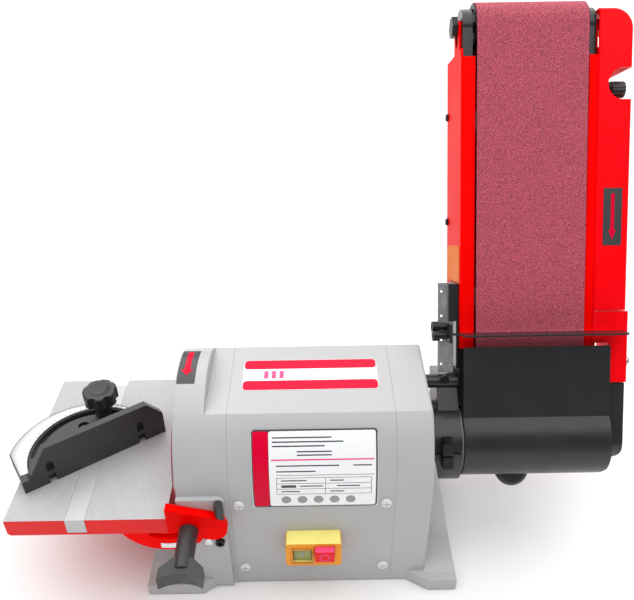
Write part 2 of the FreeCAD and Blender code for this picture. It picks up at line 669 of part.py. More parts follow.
def lock_knob(x, z):
    # slim barrel that carries a wing across its end, hollowed along the far edge
    seat = -TABLE_HALF - 0.4
    end = seat - LOCK_KNOB_L
    barrel = rod_y(end + 11.0, seat, x, z, LOCK_KNOB_R)
    wing_plan = [(x - 8, end + 21), (x - 18.5, end + 11), (x - 18.5, end), (x + 18.5, end),
                 (x + 18.5, end + 11), (x + 8, end + 21)]
    wing = prism_xy(wing_plan, z - 6.5, z + 6.5)
    scoop = rod_z(z - 10, z + 10, x, end - 31, 36.0)
    knob = fuse([barrel, wing.cut(scoop)])
    bore = rod_y(seat - 22, seat + 1, x, z, STUD_R)
    return knob.cut(bore)


# ---------------------------------------------------------------- mitre gauge
def turn_mitre(shape):
    shape.rotate(Vector(SLOT_X, MITRE_Y, 0), Vector(0, 0, 1), MITRE_ANGLE)
    return shape


def deck_sector(inset, z0, z1):
    # half disc behind the fence, trimmed square with the fence's ends
    disc = rod_z(z0, z1, SLOT_X + DECK_SHIFT[0], MITRE_Y + DECK_SHIFT[1], DECK_R - inset)
    room = box(SLOT_X - FENCE_LEFT + inset, SLOT_X + FENCE_RIGHT - inset,
               MITRE_Y - FENCE_AHEAD, MITRE_Y + 90, z0, z1)
    return disc.common(room)


def build_mitre_gauge():
    top = TABLE_TOP
    bar = box(SLOT_X - SLOT_W / 2 + 0.15, SLOT_X + SLOT_W / 2 - 0.15, BAR_Y0, BAR_Y1,
              top - SLOT_DEPTH + 0.3, top - 0.05)
    groove = box(SLOT_X - 5.5, SLOT_X + 5.5, BAR_Y0 + 4, BAR_Y1 - 4, top - SLOT_DEPTH, top - 9)
    write("mitre_bar", bar.cut(groove))

    x0, x1 = SLOT_X - FENCE_LEFT, SLOT_X + FENCE_RIGHT
    face = MITRE_Y - FENCE_AHEAD
    back = face + FENCE_T
    foot_z = top + 0.4
    crest = top + FENCE_H
    deck_z = top + DECK_Z
    outline = [(x0, foot_z), (x0, foot_z + 4), (x0 + 25, crest), (x1 - 14, crest), (x1, foot_z + 24),
               (x1, foot_z)]
    fence = prism_xz(outline, face, back)
    for sx in (x0 + 26, x1 - 24):
        # round-topped pockets in the fence's face
        fence = fence.cut(box(sx - 3.2, sx + 3.2, face - 1, face + 5, foot_z - 1, foot_z + 22))
        fence = fence.cut(rod_y(face - 1, face + 5, sx, foot_z + 22, 3.2))
    deck = deck_sector(0.0, deck_z - DECK_T, deck_z)
    skirt = deck_sector(0.0, foot_z, deck_z).cut(deck_sector(4.0, foot_z - 1, deck_z + 1))
    # a gusset ties the fence's right end down to the deck
    wing = prism_yz([(back - 1, foot_z), (back + 17, foot_z), (back + 17, deck_z), (back - 1, top + 24)],
                    x1 - 5, x1)
    boss = rod_z(foot_z, deck_z, SLOT_X, MITRE_Y + 4, 8)
    boss = boss.cut(box(SLOT_X - 20, SLOT_X + 20, face - 20, face, top, top + 40))
    ring_slot = rod_z(top, top + 40, SLOT_X, MITRE_Y, MITRE_SLOT_R + 3.4)
    ring_slot = ring_slot.cut(rod_z(top - 1, top + 41, SLOT_X, MITRE_Y, MITRE_SLOT_R - 3.4))
    sweep = box(SLOT_X - 50, SLOT_X + 50, MITRE_Y + 20, MITRE_Y + 90, top, top + 40)
    head = fuse([fence, deck, skirt, boss, wing])
    pivot_hole = rod_z(top - 2, deck_z - 2, SLOT_X, MITRE_Y, PIVOT_PIN_R + 0.06)
    peep = rod_z(top, top + 30, SLOT_X + 5.0, MITRE_Y + 34.6, 5.2)
    head = cut(head, [ring_slot.common(sweep), pivot_hole, peep])
    write("mitre_head", turn_mitre(head))

    pivot = rod_z(top - 5.0, top + 9.6, SLOT_X, MITRE_Y, PIVOT_PIN_R)
    write("mitre_pivot_pin", pivot)

    ky = MITRE_Y + MITRE_SLOT_R
    seat = top + DECK_Z + 0.9
    stem = rod_z(seat, seat + 16, SLOT_X, ky, 8.5)
    grip = rod_z(seat + 15, seat + 28, SLOT_X, ky, MITRE_KNOB_R)
    crown = [e for e in grip.Edges if abs(e.CenterOfMass.z - seat - 28) < 0.01]
    grip = grip.makeFillet(2.5, crown)
    scallops = []
    out = MITRE_KNOB_R + 3.0
    for k in range(7):
        angle = math.radians(360.0 * k / 7)
        sx, sy = SLOT_X + out * math.cos(angle), ky + out * math.sin(angle)
        scallops.append(rod_z(seat + 5, seat + 30, sx, sy, 5.5))
    bore = rod_z(seat - 1, seat + 14, SLOT_X, ky, 3.0)
    dish = Part.makeSphere(24.0, Vector(SLOT_X, ky, seat + 28 + 21.5))
    write("mitre_knob", cut(fuse([stem, grip]), scallops + [bore, dish]))
    write("mitre_clamp_stud", rod_z(top - 5.0, seat + 13.5, SLOT_X, ky, 2.95))


# ---------------------------------------------------------------- belt arm
# Arm pieces are drawn with the arm upright over the shaft: s is measured up the arm from
# the shaft and n is measured from the drum line towards the operator.
def lean(shape):
    shape.rotate(Vector(0, 0, SHAFT_Z), Vector(1, 0, 0), -ARM_LEAN)
    return shape


def arm_box(x0, x1, n0, n1, s0, s1):
    return box(x0, x1, -n1, -n0, SHAFT_Z + s0, SHAFT_Z + s1)


def arm_rod(x0, x1, n, s, r):
    return rod_x(x0, x1, -n, SHAFT_Z + s, r)


def arm_prism(points, x0, x1):
    return prism_yz([(-n, SHAFT_Z + s) for n, s in points], x0, x1)


def loop_solid(x0, x1, low_r, high_r, span):
    # closed run round two wheels of different size, filled solid
    tilt = math.asin((low_r - high_r) / span)

    def at(r, s, degrees):
        angle = math.radians(degrees)
        return Vector(x0, -r * math.cos(angle), SHAFT_Z + s + r * math.sin(angle))

    lift = math.degrees(tilt)
    edges = [
        Part.makeLine(at(low_r, 0, lift), at(high_r, span, lift)),
        Part.Arc(at(high_r, span, lift), at(high_r, span, 90), at(high_r, span, 180 - lift)).toShape(),
        Part.makeLine(at(high_r, span, 180 - lift), at(low_r, 0, 180 - lift)),
        Part.Arc(at(low_r, 0, 180 - lift), at(low_r, 0, 270), at(low_r, 0, lift)).toShape(),
    ]
    return Part.Face(Part.Wire(edges)).extrude(Vector(x1 - x0, 0, 0))


def build_belt():
    inner_low = DRIVE_R + BELT_GAP
    inner_high = IDLER_R + BELT_GAP
    x0, x1 = BELT_X0, BELT_X0 + BELT_W
    outer = loop_solid(x0, x1, inner_low + BELT_T, inner_high + BELT_T, DRUM_CENTRES)
    inner = loop_solid(x0 - 1, x1 + 1, inner_low, inner_high, DRUM_CENTRES)
    write("sanding_belt", lean(outer.cut(inner)))


def frame_plate(x):
    # side sheet with a fork at the top whose slot carries the idler axle
    c = DRUM_CENTRES
    plate = arm_box(x, x + SHEET_T, FRAME_BACK, FRAME_FRONT, 40, FRAME_TOP)
    neck = arm_box(x, x + SHEET_T, -11, 11, FRAME_TOP - 1, FORK_S)
    tip = arm_rod(x, x + SHEET_T, 0, FORK_S, 11)
    slot = fuse([arm_rod(x - 1, x + 3, 0, c, AXLE_SLOT_R),
                 arm_rod(x - 1, x + 3, 0, c - IDLER_DROP, AXLE_SLOT_R),
                 arm_box(x - 1, x + 3, -AXLE_SLOT_R, AXLE_SLOT_R, c - IDLER_DROP, c)])
    return fuse([plate, neck, tip]).cut(slot)


def build_frame():
    x = FRAME_LEFT_X
    front = arm_box(x, BELT_X0 - 1.2, FRAME_FRONT - SHEET_T, FRAME_FRONT, 40, FLANGE_TOP)
    back = arm_box(x, BELT_X0 + 6, FRAME_BACK, FRAME_BACK + SHEET_T, 40, FLANGE_TOP)
    write("left_frame_plate", lean(fuse([frame_plate(x), front, back])))
    x = FRAME_RIGHT_X
    front = arm_box(BELT_X0 + BELT_W + 1.2, x + SHEET_T, FRAME_FRONT - SHEET_T, FRAME_FRONT, 40, FLANGE_TOP)
    back = arm_box(x - 8, x + SHEET_T, FRAME_BACK, FRAME_BACK + SHEET_T, 40, FLANGE_TOP)
    write("right_frame_plate", lean(fuse([frame_plate(x), front, back])))


def build_back_guard():
    guard = arm_box(FRAME_LEFT_X + 3, FRAME_RIGHT_X - 1, FRAME_BACK - 2.0, FRAME_BACK, 62, FLANGE_TOP)
    slots = []
    for k in range(6):
        s = 110.0 + 36.0 * k
        slots.append(arm_box(185, 236, FRAME_BACK - 4, FRAME_BACK + 3, s, s + 7))
    write("back_guard", lean(cut(guard, slots)))


def build_platen():
    plate = arm_box(BELT_X0 + 2, BELT_X0 + BELT_W - 2, 16.5, 19.2, 96, 346)
    feet = []
    for x0, x1 in ((FRAME_LEFT_X + SHEET_T, BELT_X0 + 6), (BELT_X0 + BELT_W - 6, FRAME_RIGHT_X)):
        for s in (140, 300):
            feet.append(arm_box(x0, x1, 12.0, 16.6, s - 9, s + 9))
    bridge = arm_box(FRAME_LEFT_X + SHEET_T, FRAME_RIGHT_X, 4.0, 12.1, 296, 304)
    write("platen", lean(fuse([plate, bridge] + feet)))


# the bolt that closes the split clamp ring
CLAMP_X = 130.0
CLAMP_N = 43.5
CLAMP_R = 2.5


def build_arm_bracket():
    ring = tube_x(RING_X[0], RING_X[1], 0, SHAFT_Z, RING_R, NECK_R + 0.06)
    lug = arm_box(125.5, 135, 26, 49, -14, 9)
    split = arm_box(CAP_X1, NECK_X1, 30, 55, -3.5, -1.5)
    web = arm_prism([(-30, 20), (-32, 66), (8, 66), (20, 30)], 126, RING_X[1])
    rod = arm_rod(RING_X[0], FRAME_LEFT_X, 10.0, 59.5, 6.5)
    pad = arm_box(RING_X[1] - 1, FRAME_LEFT_X, -30, 8, 44, 65)
    whole = fuse([ring, lug, web, rod, pad])
    drill = rod_along(CLAMP_X, CLAMP_N, -15.0, 10.0, CLAMP_R)
    whole = cut(whole, [split, drill, rod_x(CAP_X1, NECK_X1, 0, SHAFT_Z, NECK_R + 0.06)])
    write("arm_bracket", lean(whole))
    shank = rod_along(CLAMP_X, CLAMP_N, -14.0, 9.2, CLAMP_R)
    head = rod_along(CLAMP_X, CLAMP_N, 9.0, 14.0, 4.6)
    write("arm_clamp_bolt", lean(fuse([shank, head])))


def rod_along(x, n, s0, s1, r):
    return rod_z(SHAFT_Z + s0, SHAFT_Z + s1, x, -n, r)


def hood_profile(wall, x0, x1):
    # round belly under the drum, an upright front panel above the crease, an upright back;
    # with a wall thickness it draws the hollow, which runs out through the open top
    rise = (HOOD_FRONT ** 2 + HOOD_CREASE_S ** 2 - HOOD_R ** 2) / (2.0 * (HOOD_CREASE_S + HOOD_R))
    front_r = HOOD_R + rise - wall
    back_r = HOOD_R - wall
    front_n = HOOD_FRONT - wall
    crease_s = rise + math.sqrt(front_r ** 2 - front_n ** 2)
    mid = (math.atan2(crease_s - rise, front_n) - math.pi / 2.0) / 2.0
    low_back = math.sqrt(0.5) * back_r
    over = 30.0 if wall > 0.0 else 0.0

    def at(n, s):
        return Vector(x0, -n, SHAFT_Z + s)

    crease = at(front_n, crease_s)
    front_mid = at(front_r * math.cos(mid), rise + front_r * math.sin(mid))
    edges = [
        Part.makeLine(at(front_n, HOOD_MOUTH_S + over), crease),
        Part.Arc(crease, front_mid, at(0, -back_r)).toShape(),
        Part.Arc(at(0, -back_r), at(-low_back, -low_back), at(-back_r, 0)).toShape(),
        Part.makeLine(at(-back_r, 0), at(-back_r, HOOD_BACK_S + over)),
        Part.makeLine(at(-back_r, HOOD_BACK_S + over), at(front_n, HOOD_MOUTH_S + over)),
    ]
    return Part.Face(Part.Wire(edges)).extrude(Vector(x1 - x0, 0, 0))


def round_far_end(shape, x1, bottom_s, radius):
    # rounds the lower corner of a piece where it ends at x1
    room = arm_box(100, x1, -80, 80, bottom_s, 200)
    corner = [e for e in room.Edges
              if abs(e.CenterOfMass.x - x1) < 0.01 and abs(e.CenterOfMass.z - SHAFT_Z - bottom_s) < 0.01]
    return shape.common(room.makeFillet(radius, corner))


def rod_back(n0, n1, x, s, r):
    # rod square to the arm's face, from n0 in front to n1 behind
    return Part.makeCylinder(r, n0 - n1, Vector(x, -n0, SHAFT_Z + s), Vector(0, 1, 0))


def build_dust_hood():
    outer = round_far_end(hood_profile(0.0, HOOD_X0, HOOD_X1), HOOD_X1, -HOOD_R, HOOD_ROUND)
    inner = hood_profile(HOOD_T, HOOD_X0 + HOOD_T, HOOD_X1 - HOOD_T)
    inner = round_far_end(inner, HOOD_X1 - HOOD_T, HOOD_T - HOOD_R, HOOD_ROUND - HOOD_T)
    shaft_hole = rod_x(HOOD_X0 - 1, HOOD_X0 + 4, 0, SHAFT_Z, 13.0)
    left_flange_room = arm_box(HOOD_X0 - 1, HOOD_X0 + 4, FRAME_FRONT - 2.5, FRAME_FRONT + 0.5, 39.5, 140)
    right_plate_room = arm_box(FRAME_RIGHT_X - 0.1, FRAME_RIGHT_X + SHEET_T + 0.1,
                               -60, FRAME_FRONT + 0.1, 40, 140)
    port = rod_back(0.0, PORT_END, PORT_X, PORT_S, PORT_R + PORT_T)
    near_rim = [e for e in port.Edges if abs(e.CenterOfMass.y) < 0.01]
    port = port.makeFillet(5.0, near_rim)
    bore = rod_back(PORT_SEAT, PORT_END - 1, PORT_X, PORT_S, PORT_R)
    bore = bore.fuse(rod_back(PORT_BLIND, PORT_SEAT, PORT_X, PORT_S, PORT_RELIEF_R))
    hood = fuse([outer, port])
    write("dust_hood", lean(cut(hood, [inner, bore, shaft_hole, left_flange_room, right_plate_room])))


def build_side_covers():
    x0 = FRAME_RIGHT_X + SHEET_T
    # moulded cover over the belt tracking gear
    block = arm_box(x0 - 3.0, COVER_X1, FRAME_BACK, FRAME_FRONT + 2, COVER_BOTTOM, COVER_TOP)
    top_outer = [e for e in block.Edges
                 if abs(e.Length - (FRAME_FRONT + 2 - FRAME_BACK)) < 0.01 and e.CenterOfMass.x > x0 + 5
                 and e.CenterOfMass.z > SHAFT_Z + 300]
    block = block.makeFillet(COVER_CORNER, top_outer)
    front_edges = [e for e in block.Edges
                   if abs(e.CenterOfMass.y + FRAME_FRONT + 2) < 0.01 and e.CenterOfMass.z > SHAFT_Z + 130]
    block = block.makeFillet(3.0, front_edges)
    inner = arm_box(x0, COVER_X1 - COVER_T, FRAME_BACK - 1, FRAME_FRONT - 0.4,
                    COVER_BOTTOM - 1, COVER_TOP - COVER_T)
    top_inner = [e for e in inner.Edges
                 if abs(e.CenterOfMass.x - COVER_X1 + COVER_T) < 0.01
                 and abs(e.CenterOfMass.z - SHAFT_Z - COVER_TOP + COVER_T) < 0.01]
    inner = inner.makeFillet(COVER_CORNER - COVER_T, top_inner)
    lap = arm_box(x0 - 4, x0, FRAME_BACK - 1, FRAME_FRONT, COVER_BOTTOM - 1, COVER_TOP - COVER_T)
    notch = [arm_box(NOTCH_X, COVER_X1 + 2, -60, 60, NOTCH_S - NOTCH_R, NOTCH_S + NOTCH_R),
             rod_back(60, -60, NOTCH_X, NOTCH_S, NOTCH_R)]
    cover = cut(block, [inner, lap] + notch)
    cover = max(cover.Solids, key=lambda s: s.Volume)
    write("tracking_cover", lean(cover))

    lower = arm_box(x0 - 3.0, COVER_X1 + 1.5, FRAME_BACK, FRAME_FRONT + 2, 58, COVER_BOTTOM - 1.2)
    inner = arm_box(x0, COVER_X1 - 0.5, FRAME_BACK - 1, FRAME_FRONT, 56, COVER_BOTTOM - 3.2)
    lap = arm_box(x0 - 4, x0, FRAME_BACK - 1, FRAME_FRONT, 50, COVER_BOTTOM)
    hood_lap = arm_box(x0 - 4, HOOD_X1 + 0.3, -60, 60, 50, HOOD_MOUTH_S + 1.5)
    write("lower_side_cover", lean(cut(lower, [inner, lap, hood_lap])))

    upper = arm_box(HOOD_X1, DRUM_COVER_X1, -DRUM_COVER_R, FRAME_FRONT, 0, 57)
    belly = rod_x(HOOD_X1, DRUM_COVER_X1, 0, SHAFT_Z, DRUM_COVER_R)
    shell = fuse([upper, belly])
    shell = round_far_end(shell, DRUM_COVER_X1, -DRUM_COVER_R, DRUM_COVER_ROUND)
    # the hollow is shallow where the outer rim is rounded off
    inside = DRUM_COVER_R - 2.5
    hollow = fuse([rod_x(HOOD_X1 - 1, DRUM_COVER_X1 - 10, 0, SHAFT_Z, inside),
                   arm_box(HOOD_X1 - 1, DRUM_COVER_X1 - 10, -inside, inside, 0, 58)])
    write("drum_end_cover", lean(shell.cut(hollow)))


def build_work_stop():
    # perforated rail, its black holder, and the shelf that crosses the belt just above the hood
    rail = arm_box(127.0, 141.5, 9.0, 12.0, 68, 153)
    holes = []
    for k in range(4):
        for x in (130.2, 137.4):
            holes.append(Part.makeCylinder(1.2, 12, Vector(x, -15, SHAFT_Z + 76 + 23 * k), Vector(0, 1, 0)))
    write("stop_rail", lean(cut(rail, holes)))
    flange = arm_box(136.7, FRAME_LEFT_X, 12.0, 15.0, STOP_S + 10, 152)
    side = arm_box(143.5, FRAME_LEFT_X, -20, 15.0, 72, 152)
    write("stop_holder", lean(fuse([flange, side])))
    low, high = STOP_S - STOP_T / 2.0, STOP_S + STOP_T / 2.0
    shelf = arm_box(144.6, 295.0, 26.0, 46.0, low, high)
    ends = [e for e in shelf.Edges if abs(e.Length - STOP_T) < 0.01 and e.CenterOfMass.y < -45]
    shelf = shelf.makeFillet(6.0, ends)
    arm = arm_box(134.0, 146.0, 26.0, 33.0, low, high)
    cheek = arm_box(134.0, 136.5, 12.0, 33.0, STOP_S - 8, STOP_S + 9)
    write("work_stop", lean(fuse([shelf, arm, cheek])))
    bolts = []
    for n, s in ((17.5, STOP_S + 5.5), (22.5, STOP_S - 2.0)):
        shank = arm_rod(125.5, 134.0, n, s, 3.4)
        head = arm_rod(120.0, 126.0, n, s, 5.0)
        socket = hexagon_x(119.0, 123.0, -n, SHAFT_Z + s, 5.0)
        bolts.append(fuse([shank, head]).cut(socket))
    lower = Part.makeCylinder(3.8, 4.0, Vector(132.0, -22.0, SHAFT_Z + 63.0), Vector(0, 1, 0))
    stem = Part.makeCylinder(2.0, 6.0, Vector(132.0, -18.0, SHAFT_Z + 63.0), Vector(0, 1, 0))
    write("stop_bolts", lean(Part.makeCompound(bolts)))
    write("rail_bolt", lean(fuse([lower, stem])))


def build_arm_screws():
    screws = []
    for s in (210.0, 312.0):
        dome = arm_rod(FRAME_LEFT_X - 2.6, FRAME_LEFT_X, FRAME_BACK + 4.5, s, 3.6)
        rim = [e for e in dome.Edges if abs(e.CenterOfMass.x - FRAME_LEFT_X + 2.6) < 0.01]
        screws.append(dome.makeFillet(1.4, rim))
    for x in (160.0, 262.0):
        for s in (90.0, 294.0):
            head = Part.makeCylinder(3.4, 2.2, Vector(x, -FRAME_BACK + 2.0, SHAFT_Z + s), Vector(0, 1, 0))
            screws.append(head)
    write("arm_screws", lean(Part.makeCompound(screws)))
    # domed nut that holds the lower cover
    seat = COVER_X1 + 1.5
    nut = arm_rod(seat, seat + 4.5, 15.0, 77.0, 4.6)
    rim = [e for e in nut.Edges if abs(e.CenterOfMass.x - seat - 4.5) < 0.01]
    write("cover_nut", lean(nut.makeFillet(2.6, rim)))


# ---------------------------------------------------------------- idler, tension and tracking
def build_idler():
    c = DRUM_CENTRES
    arms = []
    for x0, x1 in ((FRAME_LEFT_X + SHEET_T + 0.4, 157.6), (262.8, 268.6)):
        arm = fuse([arm_box(x0, x1, -15, 15, 351, c), arm_rod(x0, x1, 0, c, 15.5)])
        arms.append(arm)
    yoke = arm_box(FRAME_LEFT_X + SHEET_T + 0.4, FRAME_RIGHT_X - 0.4, -12, 12, 350, 359)
    hole = arm_rod(140, 280, 0, c, 5.0)
    carriage = fuse([yoke] + arms).cut(hole)
    write("idler_carriage", lean(carriage))
    axle = arm_rod(FRAME_LEFT_X - 3.6, FRAME_RIGHT_X + SHEET_T + 3.6, 0, c, 4.95)
    nuts = [hexagon_x(FRAME_LEFT_X - 5.4, FRAME_LEFT_X - 0.4, 0, SHAFT_Z + c, 17.0),
            hexagon_x(FRAME_RIGHT_X + SHEET_T + 0.4, FRAME_RIGHT_X + SHEET_T + 5.4, 0, SHAFT_Z + c, 10.0)]
    write("idler_axle", lean(fuse([axle] + nuts)))
    x0, x1 = DRUM_SPAN
    rim = rod_x(x0, x1, 0, SHAFT_Z + c, IDLER_R).cut(rod_x(x0 - 1, x1 + 1, 0, SHAFT_Z + c, IDLER_R - 4))
    hubs = []
    for a in (x0 + 2, x1 - 10):
        hub = rod_x(a, a + 8, 0, SHAFT_Z + c, IDLER_R - 3.5).cut(rod_x(a - 1, a + 9, 0, SHAFT_Z + c, 5.02))
        hubs.append(hub)
    write("idler_drum", lean(fuse([rim] + hubs)))


SPRING_X = 210.0
SPRING_TOP = 349.6
SPRING_LOW = 304.4


def build_tension_spring():
    turns = 7
    wire_r = 1.1
    coil_r = 7.0
    height = SPRING_TOP - SPRING_LOW - 2 * wire_r
    helix = Part.makeHelix(height / turns, height, coil_r)
    helix.translate(Vector(SPRING_X, 0, SHAFT_Z + SPRING_LOW + wire_r))
    start = Vector(SPRING_X + coil_r, 0, SHAFT_Z + SPRING_LOW + wire_r)
    section = Part.Wire([Part.Circle(start, Vector(0, 1, 0), wire_r).toShape()])
    coil = Part.Wire(helix).makePipeShell([section], True, True)
    solid = Part.Solid(coil) if coil.ShapeType == "Shell" else coil
    write("tension_spring", lean(solid))


TRACK_S = 328.0
TRACK_N = 6.0
TRACK_KNOB_R = 7.5


def build_tracking_knob():
    y, z = -TRACK_N, SHAFT_Z + TRACK_S
    screw = rod_x(FRAME_RIGHT_X + SHEET_T + 6, 288, y, z, 3.0)
    grip = rod_x(285.5, 298.0, y, z, TRACK_KNOB_R)
    flutes = []
    out = TRACK_KNOB_R + 0.6
    for k in range(12):
        angle = math.radians(30 * k)
        flutes.append(rod_x(284, 299, y + out * math.cos(angle), z + out * math.sin(angle), 1.3))
    write("tracking_knob", lean(cut(fuse([screw, grip]), flutes)))
    base = arm_box(FRAME_RIGHT_X + SHEET_T, 279.6, TRACK_N - 9, TRACK_N + 9, TRACK_S - 11, TRACK_S + 11)
    base = base.cut(rod_x(FRAME_RIGHT_X + SHEET_T + 5, 290, y, z, 3.06))
    write("tracking_block", lean(base))


# ---------------------------------------------------------------- build everything
build_motor_housing()
build_base_plate()
build_disc_end_cap()
build_belt_end_cap()
build_rubber_feet()
build_housing_screws()
build_rating_plate()
build_switch()
button("start_button", -START_SUNK)
button("stop_button", STOP_PROUD)
build_cable_gland()
build_motor()
build_shaft()
build_disc()
build_drive_drum()
build_table()
build_trunnions()
build_tilt_scale()
build_table_locks()
build_mitre_gauge()
build_belt()
build_frame()
build_back_guard()
build_platen()
build_arm_bracket()
build_dust_hood()
build_side_covers()
build_work_stop()
build_arm_screws()
build_idler()
build_tension_spring()
build_tracking_knob()
print(len(built), "nodes")
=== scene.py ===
import math

import bmesh
import bpy
from mathutils import Matrix, Vector


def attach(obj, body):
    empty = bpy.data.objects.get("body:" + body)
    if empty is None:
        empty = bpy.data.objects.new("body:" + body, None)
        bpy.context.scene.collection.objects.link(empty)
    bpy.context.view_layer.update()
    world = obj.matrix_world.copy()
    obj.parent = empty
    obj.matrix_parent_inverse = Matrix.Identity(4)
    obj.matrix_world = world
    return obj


# Looks of a bench belt and disc sander. Pieces are drawn in millimetres in the frame of the
# solid model, and mesh() turns them into metres. Lights, floor and camera are in metres.
MM = 0.001
SHAFT_Z = 107.3
RIDGE_Z = SHAFT_Z + 80.0
SPRING_Z = SHAFT_Z + 6.8
RIDGE_HALF = 46.8
BODY_HALF = 80.0
CROWN_RISE = 16.6
TABLE_TOP = SHAFT_Z + 2.3
ARM_LEAN = math.radians(28.0)
COVER_FRONT = 22.0          # face of the tracking cover, in front of the drum line
PLATE_SIDE = 146.0          # outer face of the left frame plate
PAINT_LINE = 92.0           # up the arm from the shaft; the left frame plate is black below it
MITRE_PIVOT = (-199.5, -22.0)
MITRE_ANGLE = math.radians(34.2)
DECK_TOP = TABLE_TOP + 14.0
DECK_CENTRE = (-8.2, 0.35)  # centre of the deck's round edge, measured from the pivot
SCALE_INNER = 57.0
SCALE_OUTER = 66.4
SCALE_END = -64.2           # the scale is cut off square at the deck's left end
SCALE_ARC = (7.0, 176.0)    # degrees
SWITCH_FACE = -95.0         # front of the switch box
STOP_FACE = SWITCH_FACE - 6.0
START_FACE = SWITCH_FACE + 2.0
STOP_CENTRE = (16.8, SHAFT_Z - 43.6)

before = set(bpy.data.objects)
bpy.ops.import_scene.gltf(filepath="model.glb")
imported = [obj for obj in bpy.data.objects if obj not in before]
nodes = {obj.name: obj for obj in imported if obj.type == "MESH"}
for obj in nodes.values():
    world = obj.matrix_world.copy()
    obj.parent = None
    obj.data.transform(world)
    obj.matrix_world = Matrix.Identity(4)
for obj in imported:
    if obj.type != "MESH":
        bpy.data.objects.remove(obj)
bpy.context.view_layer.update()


# ---------------------------------------------------------------- node-tree helpers
class Tree:
    """Small builder for one material's node tree."""

    def __init__(self, name):
        self.material = bpy.data.materials.new(name)
        self.material.use_nodes = True
        self.nodes = self.material.node_tree.nodes
        self.links = self.material.node_tree.links
        self.shader = self.nodes["Principled BSDF"]

    def add(self, kind, **values):
        node = self.nodes.new(kind)
        for key, value in values.items():
            setattr(node, key, value)
        return node

    def link(self, source, target):
        self.links.new(source, target)

    def place(self, scale=(1.0, 1.0, 1.0), turn=(0.0, 0.0, 0.0)):
        coords = self.add("ShaderNodeTexCoord")
        mapping = self.add("ShaderNodeMapping")
        mapping.inputs["Scale"].default_value = scale
        mapping.inputs["Rotation"].default_value = turn
        self.link(coords.outputs["Object"], mapping.inputs["Vector"])
        return mapping.outputs["Vector"]

    def noise(self, scale, detail=4.0, rough=0.55, stretch=(1.0, 1.0, 1.0), turn=(0.0, 0.0, 0.0)):
        node = self.add("ShaderNodeTexNoise")
        node.inputs["Scale"].default_value = scale
        node.inputs["Detail"].default_value = detail
        node.inputs["Roughness"].default_value = rough
        self.link(self.place(stretch, turn), node.inputs["Vector"])
        return node.outputs["Fac"]

    def cells(self, scale, stretch=(1.0, 1.0, 1.0)):
        node = self.add("ShaderNodeTexVoronoi")
        node.inputs["Scale"].default_value = scale
        self.link(self.place(stretch), node.inputs["Vector"])
        return node

    def span(self, value, from_low, from_high, to_low, to_high):
        node = self.add("ShaderNodeMapRange")
        node.inputs["From Min"].default_value = from_low
        node.inputs["From Max"].default_value = from_high
        node.inputs["To Min"].default_value = to_low
        node.inputs["To Max"].default_value = to_high
        self.link(value, node.inputs["Value"])
        return node.outputs["Result"]

    def math(self, operation, first, second=None):
        node = self.add("ShaderNodeMath", operation=operation)
        for socket, value in zip(node.inputs, (first, second)):
            if value is None:
                continue
            if isinstance(value, (int, float)):
                socket.default_value = value
            else:
                self.link(value, socket)
        return node.outputs["Value"]

    def mix(self, factor, first, second):
        node = self.add("ShaderNodeMix", data_type="RGBA")
        self.link(factor, node.inputs["Factor"])
        for key, value in (("A", first), ("B", second)):
            sockets = [s for s in node.inputs if s.name == key and s.type == "RGBA"]
            if isinstance(value, tuple):
                sockets[0].default_value = value
            else:
                self.link(value, sockets[0])
        return [s for s in node.outputs if s.type == "RGBA"][0]

    def bump(self, height, strength, distance, edge=0.0):
        node = self.add("ShaderNodeBump")
        node.inputs["Strength"].default_value = strength
        node.inputs["Distance"].default_value = distance
        self.link(height, node.inputs["Height"])
        if edge > 0.0:
            soften = self.add("ShaderNodeBevel", samples=4)
            soften.inputs["Radius"].default_value = edge
            self.link(soften.outputs["Normal"], node.inputs["Normal"])
        self.link(node.outputs["Normal"], self.shader.inputs["Normal"])

    def feed(self, key, value):
        self.link(value, self.shader.inputs[key])

    def fix(self, **values):
        for key, value in values.items():
            self.shader.inputs[key.replace("_", " ")].default_value = value


def rgb(red, green, blue):
    """Linear colour from 0-255 display values."""
    out = []
    for value in (red, green, blue):
        v = value / 255.0
        out.append(v / 12.92 if v <= 0.04045 else ((v + 0.055) / 1.055) ** 2.4)
    return tuple(out) + (1.0,)


def shade(colour, factor):
    return tuple(min(1.0, c * factor) for c in colour[:3]) + (1.0,)


def finish_coat(name, colour, rough, grain_mm, bump_um, metal=0.0, coat=0.0, mottle=0.10, edge_mm=0.5,
                shine=0.5):
    """Painted or moulded surface: fine grain, slow tone drift, uneven gloss, softened edges."""
    tree = Tree(name)
    drift = tree.noise(9.0, 3.0)
    fine = tree.noise(1000.0 / grain_mm, 2.0, 0.5)
    tone = tree.math("ADD", tree.math("MULTIPLY", drift, 0.7), tree.math("MULTIPLY", fine, 0.3))
    low = shade(colour, 1.0 - mottle)
    high = shade(colour, 1.0 + mottle)
    tree.feed("Base Color", tree.mix(tree.span(tone, 0.3, 0.7, 0.0, 1.0), low, high))
    smear = tree.noise(38.0, 5.0, 0.6)
    tree.feed("Roughness", tree.span(smear, 0.3, 0.7, rough * 0.82, min(1.0, rough * 1.2)))
    tree.fix(Metallic=metal, Coat_Weight=coat, Coat_Roughness=0.08, Specular_IOR_Level=shine)
    tree.bump(fine, 0.35, bump_um * 1e-6, edge_mm * MM)
    return tree.material


